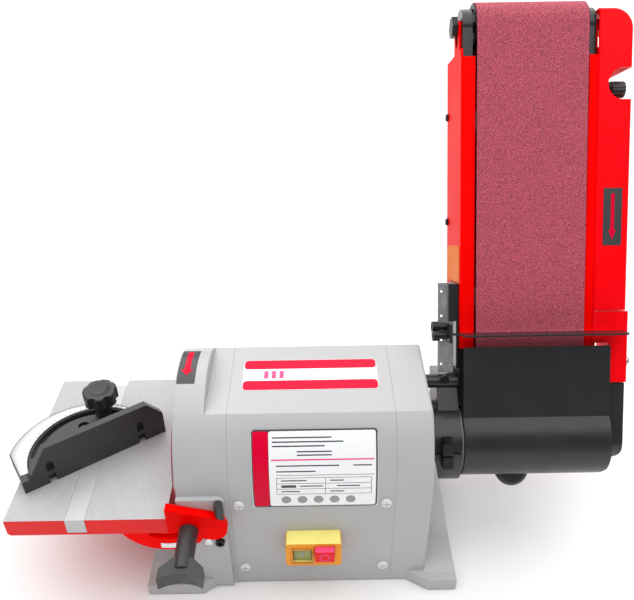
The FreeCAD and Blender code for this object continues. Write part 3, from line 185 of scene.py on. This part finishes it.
def metal_surface(name, colour, rough, streak=(1.0, 1.0, 1.0), streak_scale=300.0, depth_um=12.0, mottle=0.10,
                  edge_mm=0.3):
    """Bare metal with drawn or turned streaks and patches of handling dullness."""
    tree = Tree(name)
    lines = tree.noise(streak_scale, 3.0, 0.6, streak)
    patch = tree.noise(26.0, 4.0, 0.6)
    low = shade(colour, 1.0 - mottle)
    high = shade(colour, 1.0 + mottle)
    tree.feed("Base Color", tree.mix(tree.span(lines, 0.3, 0.7, 0.0, 1.0), low, high))
    worn = tree.math("ADD", tree.math("MULTIPLY", lines, 0.5), tree.math("MULTIPLY", patch, 0.5))
    tree.feed("Roughness", tree.span(worn, 0.3, 0.7, rough * 0.75, min(1.0, rough * 1.3)))
    tree.fix(Metallic=1.0)
    tree.bump(lines, 0.4, depth_um * 1e-6, edge_mm * MM)
    return tree.material


def abrasive_cloth(name, colour):
    """Coated abrasive: packed mineral grains with glints and thin spots."""
    tree = Tree(name)
    grains = tree.cells(1900.0)
    speck = tree.noise(950.0, 2.0, 0.7)
    blotch = tree.noise(150.0, 4.0, 0.65)
    grain_tone = tree.span(speck, 0.36, 0.66, 0.0, 1.0)
    dark = shade(colour, 0.42)
    light = shade(colour, 1.85)
    base = tree.mix(grain_tone, dark, light)
    coarse = tree.span(blotch, 0.35, 0.68, 0.0, 0.42)
    tree.feed("Base Color", tree.mix(coarse, base, shade(colour, 1.28)))
    tree.feed("Roughness", tree.span(speck, 0.3, 0.7, 0.95, 0.62))
    height = tree.math("ADD", grains.outputs["Distance"], tree.math("MULTIPLY", speck, 0.6))
    tree.bump(height, 0.55, 0.00025)
    return tree.material


def table_metal(name):
    """Milled grey top with fine feed lines; sides and underside are painted red."""
    tree = Tree(name)
    lines = tree.noise(900.0, 4.0, 0.7, (1.0, 0.35, 1.0))
    patch = tree.noise(30.0, 5.0, 0.62)
    worn = tree.math("ADD", tree.math("MULTIPLY", lines, 0.7), tree.math("MULTIPLY", patch, 0.3))
    grey = tree.mix(tree.span(worn, 0.3, 0.7, 0.0, 1.0), rgb(168, 168, 169), rgb(190, 190, 191))
    fine = tree.noise(900.0, 2.0)
    drift = tree.noise(12.0, 3.0)
    red = tree.mix(tree.span(drift, 0.3, 0.7, 0.0, 1.0), rgb(222, 2, 2), rgb(240, 4, 4))
    geometry = tree.add("ShaderNodeNewGeometry")
    split = tree.add("ShaderNodeSeparateXYZ")
    tree.link(geometry.outputs["Normal"], split.inputs["Vector"])
    place = tree.add("ShaderNodeSeparateXYZ")
    coords = tree.add("ShaderNodeTexCoord")
    tree.link(coords.outputs["Object"], place.inputs["Vector"])
    facing = tree.math("GREATER_THAN", split.outputs["Z"], 0.9)
    level = tree.math("GREATER_THAN", place.outputs["Z"], (TABLE_TOP - 1.0) * MM)
    top = tree.math("MULTIPLY", facing, level)
    tree.feed("Base Color", tree.mix(top, red, grey))
    tree.feed("Metallic", tree.math("MULTIPLY", top, 0.15))
    tree.fix(Specular_IOR_Level=0.25)
    rough_top = tree.span(worn, 0.3, 0.7, 0.42, 0.58)
    rough_side = tree.span(drift, 0.3, 0.7, 0.26, 0.36)
    spread = tree.math("ADD", tree.math("MULTIPLY", top, rough_top),
                       tree.math("MULTIPLY", tree.math("SUBTRACT", 1.0, top), rough_side))
    tree.feed("Roughness", spread)
    height = tree.math("ADD", tree.math("MULTIPLY", top, lines), tree.math("MULTIPLY", fine, 0.3))
    tree.bump(height, 0.3, 0.00002, 0.4 * MM)
    return tree.material


def lit_top_plastic(name, front, top, rough):
    """Moulded plastic with painted light: upward faces take the paler top colour, as if lit from above, and
    the rest the front colour.
    """
    tree = Tree(name)
    drift = tree.noise(60.0, 3.0)
    fine = tree.noise(1400.0, 2.0)
    geometry = tree.add("ShaderNodeNewGeometry")
    split = tree.add("ShaderNodeSeparateXYZ")
    tree.link(geometry.outputs["Normal"], split.inputs["Vector"])
    # painted light: the more a face looks up, the more it takes the paler top colour (face) instead of the
    # front colour (side)
    lit_upward = tree.span(split.outputs["Z"], 0.45, 0.8, 0.0, 1.0)
    side = tree.mix(tree.span(drift, 0.3, 0.7, 0.0, 1.0), shade(front, 0.93), shade(front, 1.06))
    face = tree.mix(tree.span(drift, 0.3, 0.7, 0.0, 1.0), shade(top, 0.96), shade(top, 1.03))
    tree.feed("Base Color", tree.mix(lit_upward, side, face))
    tree.feed("Roughness", tree.span(drift, 0.3, 0.7, rough * 0.85, rough * 1.2))
    tree.fix(Specular_IOR_Level=0.2)
    tree.bump(fine, 0.3, 0.00002, 0.6 * MM)
    return tree.material


def split_paint(name, above, below, level):
    """Arm paint in two colours that meet at one height, in millimetres up the arm from the shaft."""
    tree = Tree(name)
    drift = tree.noise(9.0, 3.0)
    fine = tree.noise(830.0, 2.0)
    coords = tree.add("ShaderNodeTexCoord")
    place = tree.add("ShaderNodeSeparateXYZ")
    tree.link(coords.outputs["Object"], place.inputs["Vector"])
    rise = tree.math("SUBTRACT", place.outputs["Z"], SHAFT_Z * MM)
    along = tree.math("ADD", tree.math("MULTIPLY", rise, math.cos(ARM_LEAN)),
                      tree.math("MULTIPLY", place.outputs["Y"], math.sin(ARM_LEAN)))
    upper = tree.math("GREATER_THAN", along, level * MM)
    tone = tree.mix(tree.span(drift, 0.3, 0.7, 0.0, 1.0), shade(above, 0.96), shade(above, 1.04))
    tree.feed("Base Color", tree.mix(upper, below, tone))
    tree.feed("Roughness", tree.span(drift, 0.3, 0.7, 0.38, 0.48))
    tree.fix(Specular_IOR_Level=0.03)
    tree.bump(fine, 0.35, 0.000014, 0.6 * MM)
    return tree.material


def clear_amber(name):
    """Translucent moulded rim round the start button."""
    tree = Tree(name)
    swirl = tree.noise(160.0, 3.0)
    clouds = tree.span(swirl, 0.3, 0.7, 0.0, 1.0)
    tree.feed("Base Color", tree.mix(clouds, rgb(236, 140, 10), rgb(250, 178, 30)))
    tree.feed("Roughness", tree.span(swirl, 0.3, 0.7, 0.12, 0.26))
    tree.fix(Transmission_Weight=0.35)
    tree.bump(swirl, 0.2, 0.00005, 0.3 * MM)
    return tree.material


mat = {
    "housing": finish_coat("housing_grey", rgb(179, 180, 181), 0.42, 0.9, 30, mottle=0.03, edge_mm=1.2),
    "red_paint": finish_coat("frame_red", rgb(250, 2, 0), 0.42, 1.2, 14, mottle=0.04, edge_mm=0.6,
                             shine=0.03),
    "red_cover": finish_coat("cover_red", rgb(252, 0, 14), 0.34, 1.4, 12, mottle=0.04, edge_mm=0.8,
                             shine=0.10),
    "black_hood": finish_coat("hood_black", rgb(30, 30, 31), 0.36, 0.7, 26, mottle=0.12, edge_mm=0.8),
    "black_paint": finish_coat("black_paint", rgb(30, 30, 32), 0.30, 0.8, 20, coat=0.1, mottle=0.15,
                               edge_mm=0.5),
    "black_plastic": finish_coat("black_plastic", rgb(46, 46, 48), 0.42, 0.6, 35, mottle=0.12, edge_mm=0.7),
    "gauge_black": finish_coat("gauge_black", rgb(48, 48, 50), 0.36, 0.7, 40, mottle=0.15, edge_mm=0.5),
    "rubber": finish_coat("rubber_black", rgb(30, 30, 30), 0.75, 0.5, 60, mottle=0.2, edge_mm=0.3),
    # the yellow switch box gets a painted highlight on its upward faces
    "yellow": lit_top_plastic("switch_yellow", rgb(246, 160, 40), rgb(255, 240, 140), 0.34),
    "amber": clear_amber("amber_rim"),
    "green": finish_coat("button_green", rgb(150, 158, 92), 0.32, 0.8, 14, mottle=0.06, edge_mm=0.8),
    # the red stop button gets a painted highlight on its upward faces
    "button_red": lit_top_plastic("button_red", rgb(240, 4, 20), rgb(255, 78, 128), 0.30),
    "white": finish_coat("label_white", rgb(246, 248, 250), 0.30, 0.5, 6, mottle=0.02, edge_mm=0.1),
    "scale_white": finish_coat("scale_white", rgb(240, 240, 242), 0.34, 0.6, 8, metal=0.2, mottle=0.04,
                               edge_mm=0.1),
    "label_edge": finish_coat("label_dark", rgb(58, 60, 62), 0.34, 0.5, 6, mottle=0.08, edge_mm=0.1),
    "label_red": finish_coat("label_red", rgb(222, 0, 52), 0.3, 0.5, 6, mottle=0.04, edge_mm=0.1, shine=0.1),
    "label_rose": finish_coat("label_rose", rgb(238, 60, 130), 0.30, 0.5, 6, mottle=0.04, edge_mm=0.1),
    "label_grey": finish_coat("label_grey", rgb(150, 152, 156), 0.34, 0.5, 6, mottle=0.08, edge_mm=0.1),
    "orange": finish_coat("panel_orange", rgb(240, 120, 0), 0.42, 0.6, 8, mottle=0.05, edge_mm=0.1,
                          shine=0.03),
    "aluminium": metal_surface("turned_aluminium", rgb(190, 191, 193), 0.34, (1.0, 0.06, 0.06), 380.0),
    "bar": finish_coat("bar_aluminium", rgb(190, 191, 192), 0.42, 0.5, 30, metal=0.3, mottle=0.06,
                       edge_mm=0.3),
    "screw": finish_coat("bright_screw", rgb(222, 222, 224), 0.3, 0.5, 12, metal=0.2, mottle=0.05,
                         edge_mm=0.3),
    "plate_paint": split_paint("plate_paint", rgb(250, 2, 0), rgb(26, 26, 28), PAINT_LINE),
    "scale": metal_surface("scale_aluminium", rgb(222, 224, 226), 0.32, (0.05, 1.0, 1.0), 400.0, 6.0, 0.05),
    "steel": metal_surface("ground_steel", rgb(196, 197, 200), 0.26, (0.05, 1.0, 1.0), 500.0),
    "zinc": metal_surface("zinc_plate", rgb(186, 188, 190), 0.34, (1.0, 1.0, 0.2), 180.0, 10.0, 0.12),
    "dull_steel": metal_surface("motor_steel", rgb(120, 121, 124), 0.5, (1.0, 0.2, 0.2), 220.0, 20.0, 0.15),
    "black_steel": metal_surface("black_steel", rgb(52, 52, 54), 0.36, (1.0, 1.0, 1.0), 240.0, 12.0, 0.2),
    "copper": metal_surface("winding_copper", rgb(176, 102, 56), 0.36, (1.0, 0.08, 0.08), 700.0, 60.0, 0.2),
    "abrasive": abrasive_cloth("abrasive_red", rgb(162, 66, 82)),
    "table": table_metal("table_cast"),
}

NODE_MATERIAL = {
    "motor_housing": "housing", "disc_end_cap": "housing", "belt_end_cap": "housing",
    "base_plate": "dull_steel", "rubber_feet": "rubber", "housing_screws": "screw",
    "rating_plate": "white", "switch_box": "yellow", "cable_gland": "rubber",
    "stator_core": "dull_steel", "stator_windings": "copper", "disc_end_bearing": "steel",
    "belt_end_bearing": "steel", "lock_studs": "zinc", "pad_bolts": "black_steel",
    "tilt_pointer": "scale", "motor_shaft": "steel", "rotor_core": "dull_steel",
    "cooling_fan": "black_plastic", "disc_plate": "aluminium", "sanding_disc": "abrasive",
    "drive_drum": "aluminium", "start_button": "green", "stop_button": "button_red",
    "arm_bracket": "black_paint", "arm_clamp_bolt": "black_steel", "left_frame_plate": "plate_paint",
    "right_frame_plate": "red_paint", "back_guard": "red_paint", "platen": "dull_steel",
    "dust_hood": "black_hood", "tracking_cover": "red_cover", "lower_side_cover": "red_cover",
    "drum_end_cover": "black_hood", "stop_rail": "zinc", "stop_holder": "black_paint",
    "work_stop": "black_paint", "stop_bolts": "black_steel", "rail_bolt": "black_steel",
    "arm_screws": "black_steel", "tracking_block": "black_paint", "sanding_belt": "abrasive",
    "tension_spring": "steel", "idler_carriage": "black_paint", "idler_axle": "black_steel",
    "idler_drum": "black_steel", "cover_nut": "zinc", "tracking_knob": "black_plastic",
    "sanding_table": "table", "front_trunnion": "red_paint", "rear_trunnion": "red_paint",
    "tilt_scale": "scale", "zero_stop_screw": "black_plastic", "front_lock_knob": "black_plastic",
    "rear_lock_knob": "black_plastic", "mitre_bar": "bar", "mitre_pivot_pin": "zinc",
    "mitre_clamp_stud": "zinc", "mitre_head": "gauge_black", "mitre_knob": "black_plastic",
}


def dress(obj, material):
    if not obj.material_slots:
        obj.data.materials.append(material)
    for slot in obj.material_slots:
        slot.material = material


for node_name, key in NODE_MATERIAL.items():
    dress(nodes[node_name], mat[key])


# ---------------------------------------------------------------- mesh helpers
def mesh(name, build, material, body, smooth=True):
    """One piece: build(bm) draws it in millimetres; it rides on the named body."""
    bm = bmesh.new()
    build(bm)
    bmesh.ops.recalc_face_normals(bm, faces=bm.faces)
    bmesh.ops.scale(bm, vec=(MM, MM, MM), verts=bm.verts)
    data = bpy.data.meshes.new(name)
    bm.to_mesh(data)
    bm.free()
    for polygon in data.polygons:
        polygon.use_smooth = smooth
    obj = bpy.data.objects.new(name, data)
    bpy.context.scene.collection.objects.link(obj)
    data.materials.append(material)
    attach(obj, body)
    return obj


def arm_point(x, n, s):
    """Point on the arm: n in front of the drum line, s up the arm from the shaft."""
    y = -n * math.cos(ARM_LEAN) + s * math.sin(ARM_LEAN)
    z = n * math.sin(ARM_LEAN) + s * math.cos(ARM_LEAN) + SHAFT_Z
    return (x, y, z)


def shoulder(t):
    """Point on the housing's front outline, t millimetres below the ridge along the surface."""
    run = BODY_HALF - RIDGE_HALF
    rise = RIDGE_Z - SPRING_Z
    radius = (run * run + rise * rise) / (2.0 * run)
    sweep = math.atan2(rise, radius - run)
    length = radius * sweep
    if t <= length:
        angle = sweep - t / radius
        normal = (-math.cos(angle), math.sin(angle))
        return (-BODY_HALF + radius - radius * math.cos(angle), SPRING_Z + radius * math.sin(angle)), normal
    return (-BODY_HALF, SPRING_Z - (t - length)), (-1.0, 0.0)


def front_point(x, t, lift):
    (y, z), (ny, nz) = shoulder(t)
    return (x, y + ny * lift, z + nz * lift)


def crown_point(x, t, lift):
    """Point on the disc guard band's round top, t millimetres in front of its highest line."""
    radius = (RIDGE_HALF ** 2 + CROWN_RISE ** 2) / (2.0 * CROWN_RISE)
    angle = t / radius
    reach = radius + lift
    return (x, -reach * math.sin(angle), RIDGE_Z + CROWN_RISE - radius + reach * math.cos(angle))


def top_point(x, t, lift):
    return (x, -t, RIDGE_Z + lift)


def flat_point(corner, across, up, normal):
    """Surface function for a flat patch: u along across, v along up."""
    def place(u, v, lift):
        p = Vector(corner) + Vector(across) * u + Vector(up) * v + Vector(normal) * lift
        return tuple(p)
    return place


def sheet_patch(bm, surface, outline, low, high, step=3.0):
    """Thin plate that follows surface(u, v, lift); outline is a closed list of (u, v)."""
    us = [u for u, v in outline]
    vs = [v for u, v in outline]
    rows = max(1, int(math.ceil((max(vs) - min(vs)) / step)))
    points = []
    count = len(outline)
    for k in range(count):
        u0, v0 = outline[k]
        u1, v1 = outline[(k + 1) % count]
        parts = max(1, int(abs(v1 - v0) / step))
        for j in range(parts):
            f = j / parts
            points.append((u0 + (u1 - u0) * f, v0 + (v1 - v0) * f))
    flat = [bm.verts.new((u, v, 0.0)) for u, v in points]
    face = bm.faces.new(flat)
    made = [face]
    for k in range(1, rows):
        cut_v = min(vs) + (max(vs) - min(vs)) * k / rows
        geom = list({v for f in made for v in f.verts}) + list({e for f in made for e in f.edges}) + made
        out = bmesh.ops.bisect_plane(bm, geom=geom, plane_co=(0, cut_v, 0), plane_no=(0, 1, 0))
        made = list({g for g in out["geom"] if isinstance(g, bmesh.types.BMFace)})
    lifted = bmesh.ops.extrude_face_region(bm, geom=made)["geom"]
    raised = [g for g in lifted if isinstance(g, bmesh.types.BMVert)]
    ids = {v for v in raised}
    every = {v for f in made for v in f.verts} | ids
    for vert in every:
        lift = high if vert in ids else low
        vert.co = surface(vert.co.x, vert.co.y, lift)


def rounded(u0, u1, v0, v1, radius, parts=5):
    """Outline of a rectangle with round corners."""
    out = []
    for cu, cv, start in ((u1 - radius, v1 - radius, 0), (u0 + radius, v1 - radius, 90),
                          (u0 + radius, v0 + radius, 180), (u1 - radius, v0 + radius, 270)):
        for k in range(parts + 1):
            a = math.radians(start + 90.0 * k / parts)
            out.append((cu + radius * math.cos(a), cv + radius * math.sin(a)))
    return out


def ring_outline(cu, cv, radius, parts=20):
    return [(cu + radius * math.cos(2 * math.pi * k / parts), cv + radius * math.sin(2 * math.pi * k / parts))
            for k in range(parts)]


def printed(name, surface, outlines, low, high, material, body):
    """Printed shapes as very thin plates on a surface."""
    def build(bm):
        for outline in outlines:
            sheet_patch(bm, surface, outline, low, high)
    return mesh(name, build, material, body, smooth=False)


def torus(bm, centre, axis, radius, wire, parts=28, around=10):
    """Ring of round section about an axis through its centre."""
    lead = Vector(axis).normalized()
    first = lead.orthogonal().normalized()
    second = lead.cross(first)
    loops = []
    for k in range(parts):
        a = 2.0 * math.pi * k / parts
        spoke = first * math.cos(a) + second * math.sin(a)
        loop = []
        for j in range(around):
            b = 2.0 * math.pi * j / around
            point = Vector(centre) + spoke * (radius + wire * math.cos(b)) + lead * (wire * math.sin(b))
            loop.append(bm.verts.new(point))
        loops.append(loop)
    for k in range(parts):
        here, there = loops[k], loops[(k + 1) % parts]
        for j in range(around):
            n = (j + 1) % around
            bm.faces.new((here[j], here[n], there[n], there[j]))


def frame_bar(bm, edges, y, width, proud):
    """Rectangular rim on a face that looks towards -Y, softened by a chamfer."""
    x0, x1, z0, z1 = edges
    levels = ((0.0, 0.0), (0.0, 0.6 * proud), (0.4 * width, proud), (width, 0.6 * proud), (width, 0.0))
    loops = []
    for inset, rise in levels:
        corners = ((x0 + inset, z0 + inset), (x1 - inset, z0 + inset), (x1 - inset, z1 - inset),
                   (x0 + inset, z1 - inset))
        loops.append([bm.verts.new((x, y - rise, z)) for x, z in corners])
    count = len(loops)
    for k in range(count):
        here, there = loops[k], loops[(k + 1) % count]
        for j in range(4):
            n = (j + 1) % 4
            bm.faces.new((here[j], here[n], there[n], there[j]))


# ---------------------------------------------------------------- labels
def build_top_label():
    place = top_point
    film = [rounded(-55.0, 67.5, -25.5, 17.0, 4.0)]
    bands = [rounded(-54.6, 67.1, low, high, 3.6) for low, high in ((-25.1, -12.5), (4.0, 16.6))]
    printed("top_label_film", place, film, 0.0, 0.35, mat["white"], "base")
    printed("top_label_bands", place, bands, 0.35, 0.45, mat["label_red"], "base")
    bars = [rounded(-36.0 + 7.0 * k, -32.0 + 7.0 * k, -9.5, 1.0, 0.6) for k in range(3)]
    printed("top_label_marks", place, bars, 0.35, 0.45, mat["label_rose"], "base")


def build_rating_plate():
    body = "base"
    lift = 0.8
    place = front_point
    printed("plate_border", place, [rounded(-44.6, 63.1, 13.6, 88.6, 3.0)], lift, lift + 0.12,
            mat["label_edge"], body)
    printed("plate_face", place, [rounded(-30.0, 61.6, 15.0, 87.2, 2.0)], lift + 0.12, lift + 0.24,
            mat["white"], body)
    printed("plate_red_band", place, [rounded(-43.6, -30.4, 15.0, 87.2, 2.0)], lift + 0.12, lift + 0.24,
            mat["label_red"], body)
    level = lift + 0.24
    printed("plate_rule", place, [rounded(-28.0, 60.0, 39.0, 40.2, 0.3)], level, level + 0.06,
            mat["label_rose"], body)
    lines = []
    heading = ((20.0, -27, 24), (23.6, -27, 34), (27.2, -27, 18), (32.0, -6, 24), (35.0, -6, 24),
               (44.4, -24, 30), (44.4, 42, 58), (49.6, -24, 10))
    for t, x0, x1 in heading:
        lines.append(rounded(x0, x1, t, t + 1.1, 0.4))
    lines.append(rounded(-24.0, 60.0, 53.4, 53.8, 0.1))
    for t in (56.0, 61.6, 67.2, 72.8):
        lines.append(rounded(-24.0, 58.0, t, t + 0.4, 0.1))
    for x in (-24.0, 18.0, 57.6):
        lines.append(rounded(x, x + 0.4, 56.0, 73.2, 0.1))
    cells = ((58.4, -20, 2), (64.0, -4, 16), (69.6, -20, -4), (58.4, 22, 34), (64.0, 28, 48), (69.6, 22, 34))
    for t, x0, x1 in cells:
        lines.append(rounded(x0, x1, t, t + 1.1, 0.4))
    lines.append(rounded(-20.0, -7.0, 63.4, 66.0, 0.8))
    printed("plate_lines", place, lines, level, level + 0.06, mat["label_edge"], body)
    discs = [ring_outline(-16.0 + 14.0 * k, 79.6, 4.3) for k in range(5)]
    printed("plate_discs", place, discs, level, level + 0.06, mat["label_grey"], body)


def arrow(cu, v0, v1, half, head):
    """Outline of an arrow that points towards v1."""
    turn = v1 - head if v1 > v0 else v1 + head
    return [(cu - half, v0), (cu + half, v0), (cu + half, turn), (cu + 2.2 * half, turn), (cu, v1),
            (cu - 2.2 * half, turn), (cu - half, turn)]


def build_arrow_labels():
    printed("disc_arrow_film", crown_point, [rounded(-111.0, -95.0, -27.0, 22.0, 0.6)], 0.02, 0.3,
            mat["label_edge"], "base")
    printed("disc_arrow_mark", crown_point, [arrow(-103.0, -24.0, 13.0, 2.6, 7.0)], 0.3, 0.4,
            mat["label_red"], "base")
    origin = arm_point(0.0, COVER_FRONT, 0.0)
    up = Vector(arm_point(0.0, 0.0, 1.0)) - Vector(arm_point(0.0, 0.0, 0.0))
    out = Vector(arm_point(0.0, 1.0, 0.0)) - Vector(arm_point(0.0, 0.0, 0.0))
    cover = flat_point(origin, (1, 0, 0), up, out)
    printed("belt_arrow_film", cover, [rounded(276.0, 293.0, 186.0, 238.0, 0.6)], 0.02, 0.3,
            mat["label_edge"], "belt_arm")
    printed("belt_arrow_mark", cover, [arrow(284.5, 233.0, 191.0, 1.6, 9.0)], 0.3, 0.4,
            mat["label_red"], "belt_arm")
    side = flat_point(arm_point(PLATE_SIDE, 0.0, 0.0), -out, up, (-1, 0, 0))
    printed("side_panel", side, [rounded(-16.0, 41.0, 153.0, 187.0, 0.6)], 0.02, 0.5,
            mat["orange"], "belt_arm")


def deck_place(u, v, lift):
    """Point on the mitre gauge's deck; u runs along the fence and v away from it."""
    c, s = math.cos(MITRE_ANGLE), math.sin(MITRE_ANGLE)
    return (MITRE_PIVOT[0] + u * c - v * s, MITRE_PIVOT[1] + u * s + v * c, DECK_TOP + lift)


def scale_rim(angle):
    """How far the scale reaches from the gauge's pivot in one direction."""
    du, dv = math.cos(angle), math.sin(angle)
    along = du * DECK_CENTRE[0] + dv * DECK_CENTRE[1]
    gap = DECK_CENTRE[0] ** 2 + DECK_CENTRE[1] ** 2
    reach = along + math.sqrt(along ** 2 - gap + SCALE_OUTER ** 2)
    if du * reach < SCALE_END:
        reach = SCALE_END / du
    return reach


def arc_strip(bm, first, last, inner, outer, low, high, parts=60):
    """Thin curved plate on the deck between two radii, each a function of the angle."""
    loops = []
    for k in range(parts + 1):
        angle = math.radians(first + (last - first) * k / parts)
        c, s = math.cos(angle), math.sin(angle)
        r0, r1 = inner(angle), outer(angle)
        ring = []
        for radius, lift in ((r0, low), (r1, low), (r1, high), (r0, high)):
            ring.append(bm.verts.new(deck_place(radius * c, radius * s, lift)))
        loops.append(ring)
    for here, there in zip(loops, loops[1:]):
        for j in range(4):
            n = (j + 1) % 4
            bm.faces.new((here[j], here[n], there[n], there[j]))
    bm.faces.new(loops[0])
    bm.faces.new(list(reversed(loops[-1])))


def build_mitre_scale():
    def strip(bm):
        arc_strip(bm, *SCALE_ARC, lambda a: SCALE_INNER, scale_rim, 0.0, 0.25)

    def ticks(bm):
        for degrees in range(30, 151, 5):
            reach = 4.4 if degrees % 15 == 0 else 2.6
            arc_strip(bm, degrees - 0.25, degrees + 0.25, lambda a: SCALE_INNER + 0.6,
                      lambda a: SCALE_INNER + 0.6 + reach, 0.2, 0.32, 1)

    def rule(bm):
        arc_strip(bm, *SCALE_ARC, lambda a: SCALE_INNER - 1.5, lambda a: SCALE_INNER - 0.1, 0.0, 0.2)

    mesh("mitre_scale", strip, mat["scale_white"], "mitre_head")
    mesh("mitre_scale_ticks", ticks, mat["label_edge"], "mitre_head")
    mesh("mitre_scale_rule", rule, mat["rubber"], "mitre_head")


def build_switch_marks():
    """The ring on the stop button, the bar on the start button and the rim round the start button."""
    def draw_ring(bm):
        torus(bm, (STOP_CENTRE[0], STOP_FACE, STOP_CENTRE[1]), (0, -1, 0), 4.2, 0.55)

    def draw_rim(bm):
        edges = (-13.4, 6.8, SHAFT_Z - 59.2, SHAFT_Z - 38.2)
        frame_bar(bm, edges, SWITCH_FACE, 1.7, 1.2)

    mesh("stop_ring", draw_ring, mat["label_rose"], "stop_button")
    start_face = flat_point((0, START_FACE, 0), (1, 0, 0), (0, 0, 1), (0, -1, 0))
    outline = rounded(-4.1, -2.5, SHAFT_Z - 53.0, SHAFT_Z - 44.5, 0.7)
    bar = printed("start_bar", start_face, [outline], -0.1, 0.5, mat["label_grey"], "start_button")
    mesh("start_rim", draw_rim, mat["amber"], "base")


build_top_label()
build_rating_plate()
build_arrow_labels()
build_switch_marks()
build_mitre_scale()


# ---------------------------------------------------------------- floor, light and camera
def build_floor():
    bm = bmesh.new()
    bmesh.ops.create_grid(bm, x_segments=2, y_segments=2, size=6.0)
    data = bpy.data.meshes.new("floor")
    bm.to_mesh(data)
    bm.free()
    floor = bpy.data.objects.new("floor", data)
    bpy.context.scene.collection.objects.link(floor)
    tree = Tree("floor_pale")
    drift = tree.noise(1.5, 2.0)
    tree.feed("Base Color", tree.mix(drift, (0.90, 0.90, 0.90, 1.0), (0.92, 0.92, 0.92, 1.0)))
    tree.fix(Roughness=0.9)
    data.materials.append(tree.material)


def build_light(name, place, target, size, power):
    lamp = bpy.data.lights.new(name, "AREA")
    lamp.shape = "RECTANGLE"
    lamp.size = size[0]
    lamp.size_y = size[1]
    lamp.energy = power
    obj = bpy.data.objects.new(name, lamp)
    obj.location = place
    obj.rotation_euler = (Vector(target) - Vector(place)).to_track_quat("-Z", "Y").to_euler()
    bpy.context.scene.collection.objects.link(obj)


def build_lights():
    build_light("overhead", (0.1, 0.0, 1.9), (0.1, 0.0, 0.0), (4.4, 3.2), 84.0)
    build_light("far_overhead", (0.1, 3.2, 2.0), (0.1, 3.2, 0.0), (4.6, 2.8), 84.0)
    world = bpy.data.worlds.new("studio")
    world.use_nodes = True
    background = world.node_tree.nodes["Background"]
    background.inputs["Color"].default_value = (1.0, 1.0, 1.0, 1.0)
    background.inputs["Strength"].default_value = 0.30
    bpy.context.scene.world = world
    bpy.context.scene.view_settings.view_transform = "Standard"


def build_camera():
    data = bpy.data.cameras.new("camera")
    data.sensor_width = 36.0
    data.lens = 40.3155
    data.clip_start = 0.05
    camera = bpy.data.objects.new("camera", data)
    pitch = math.radians(33.7699)
    yaw = math.radians(-0.16147)
    roll = math.radians(-0.846)
    turn = (Matrix.Rotation(yaw, 4, "Z") @ Matrix.Rotation(math.pi / 2.0 - pitch, 4, "X")
            @ Matrix.Rotation(roll, 4, "Z"))
    camera.matrix_world = Matrix.Translation((0.012, -0.49854, 0.60543)) @ turn
    bpy.context.scene.collection.objects.link(camera)
    bpy.context.scene.camera = camera


build_floor()
build_lights()
build_camera()
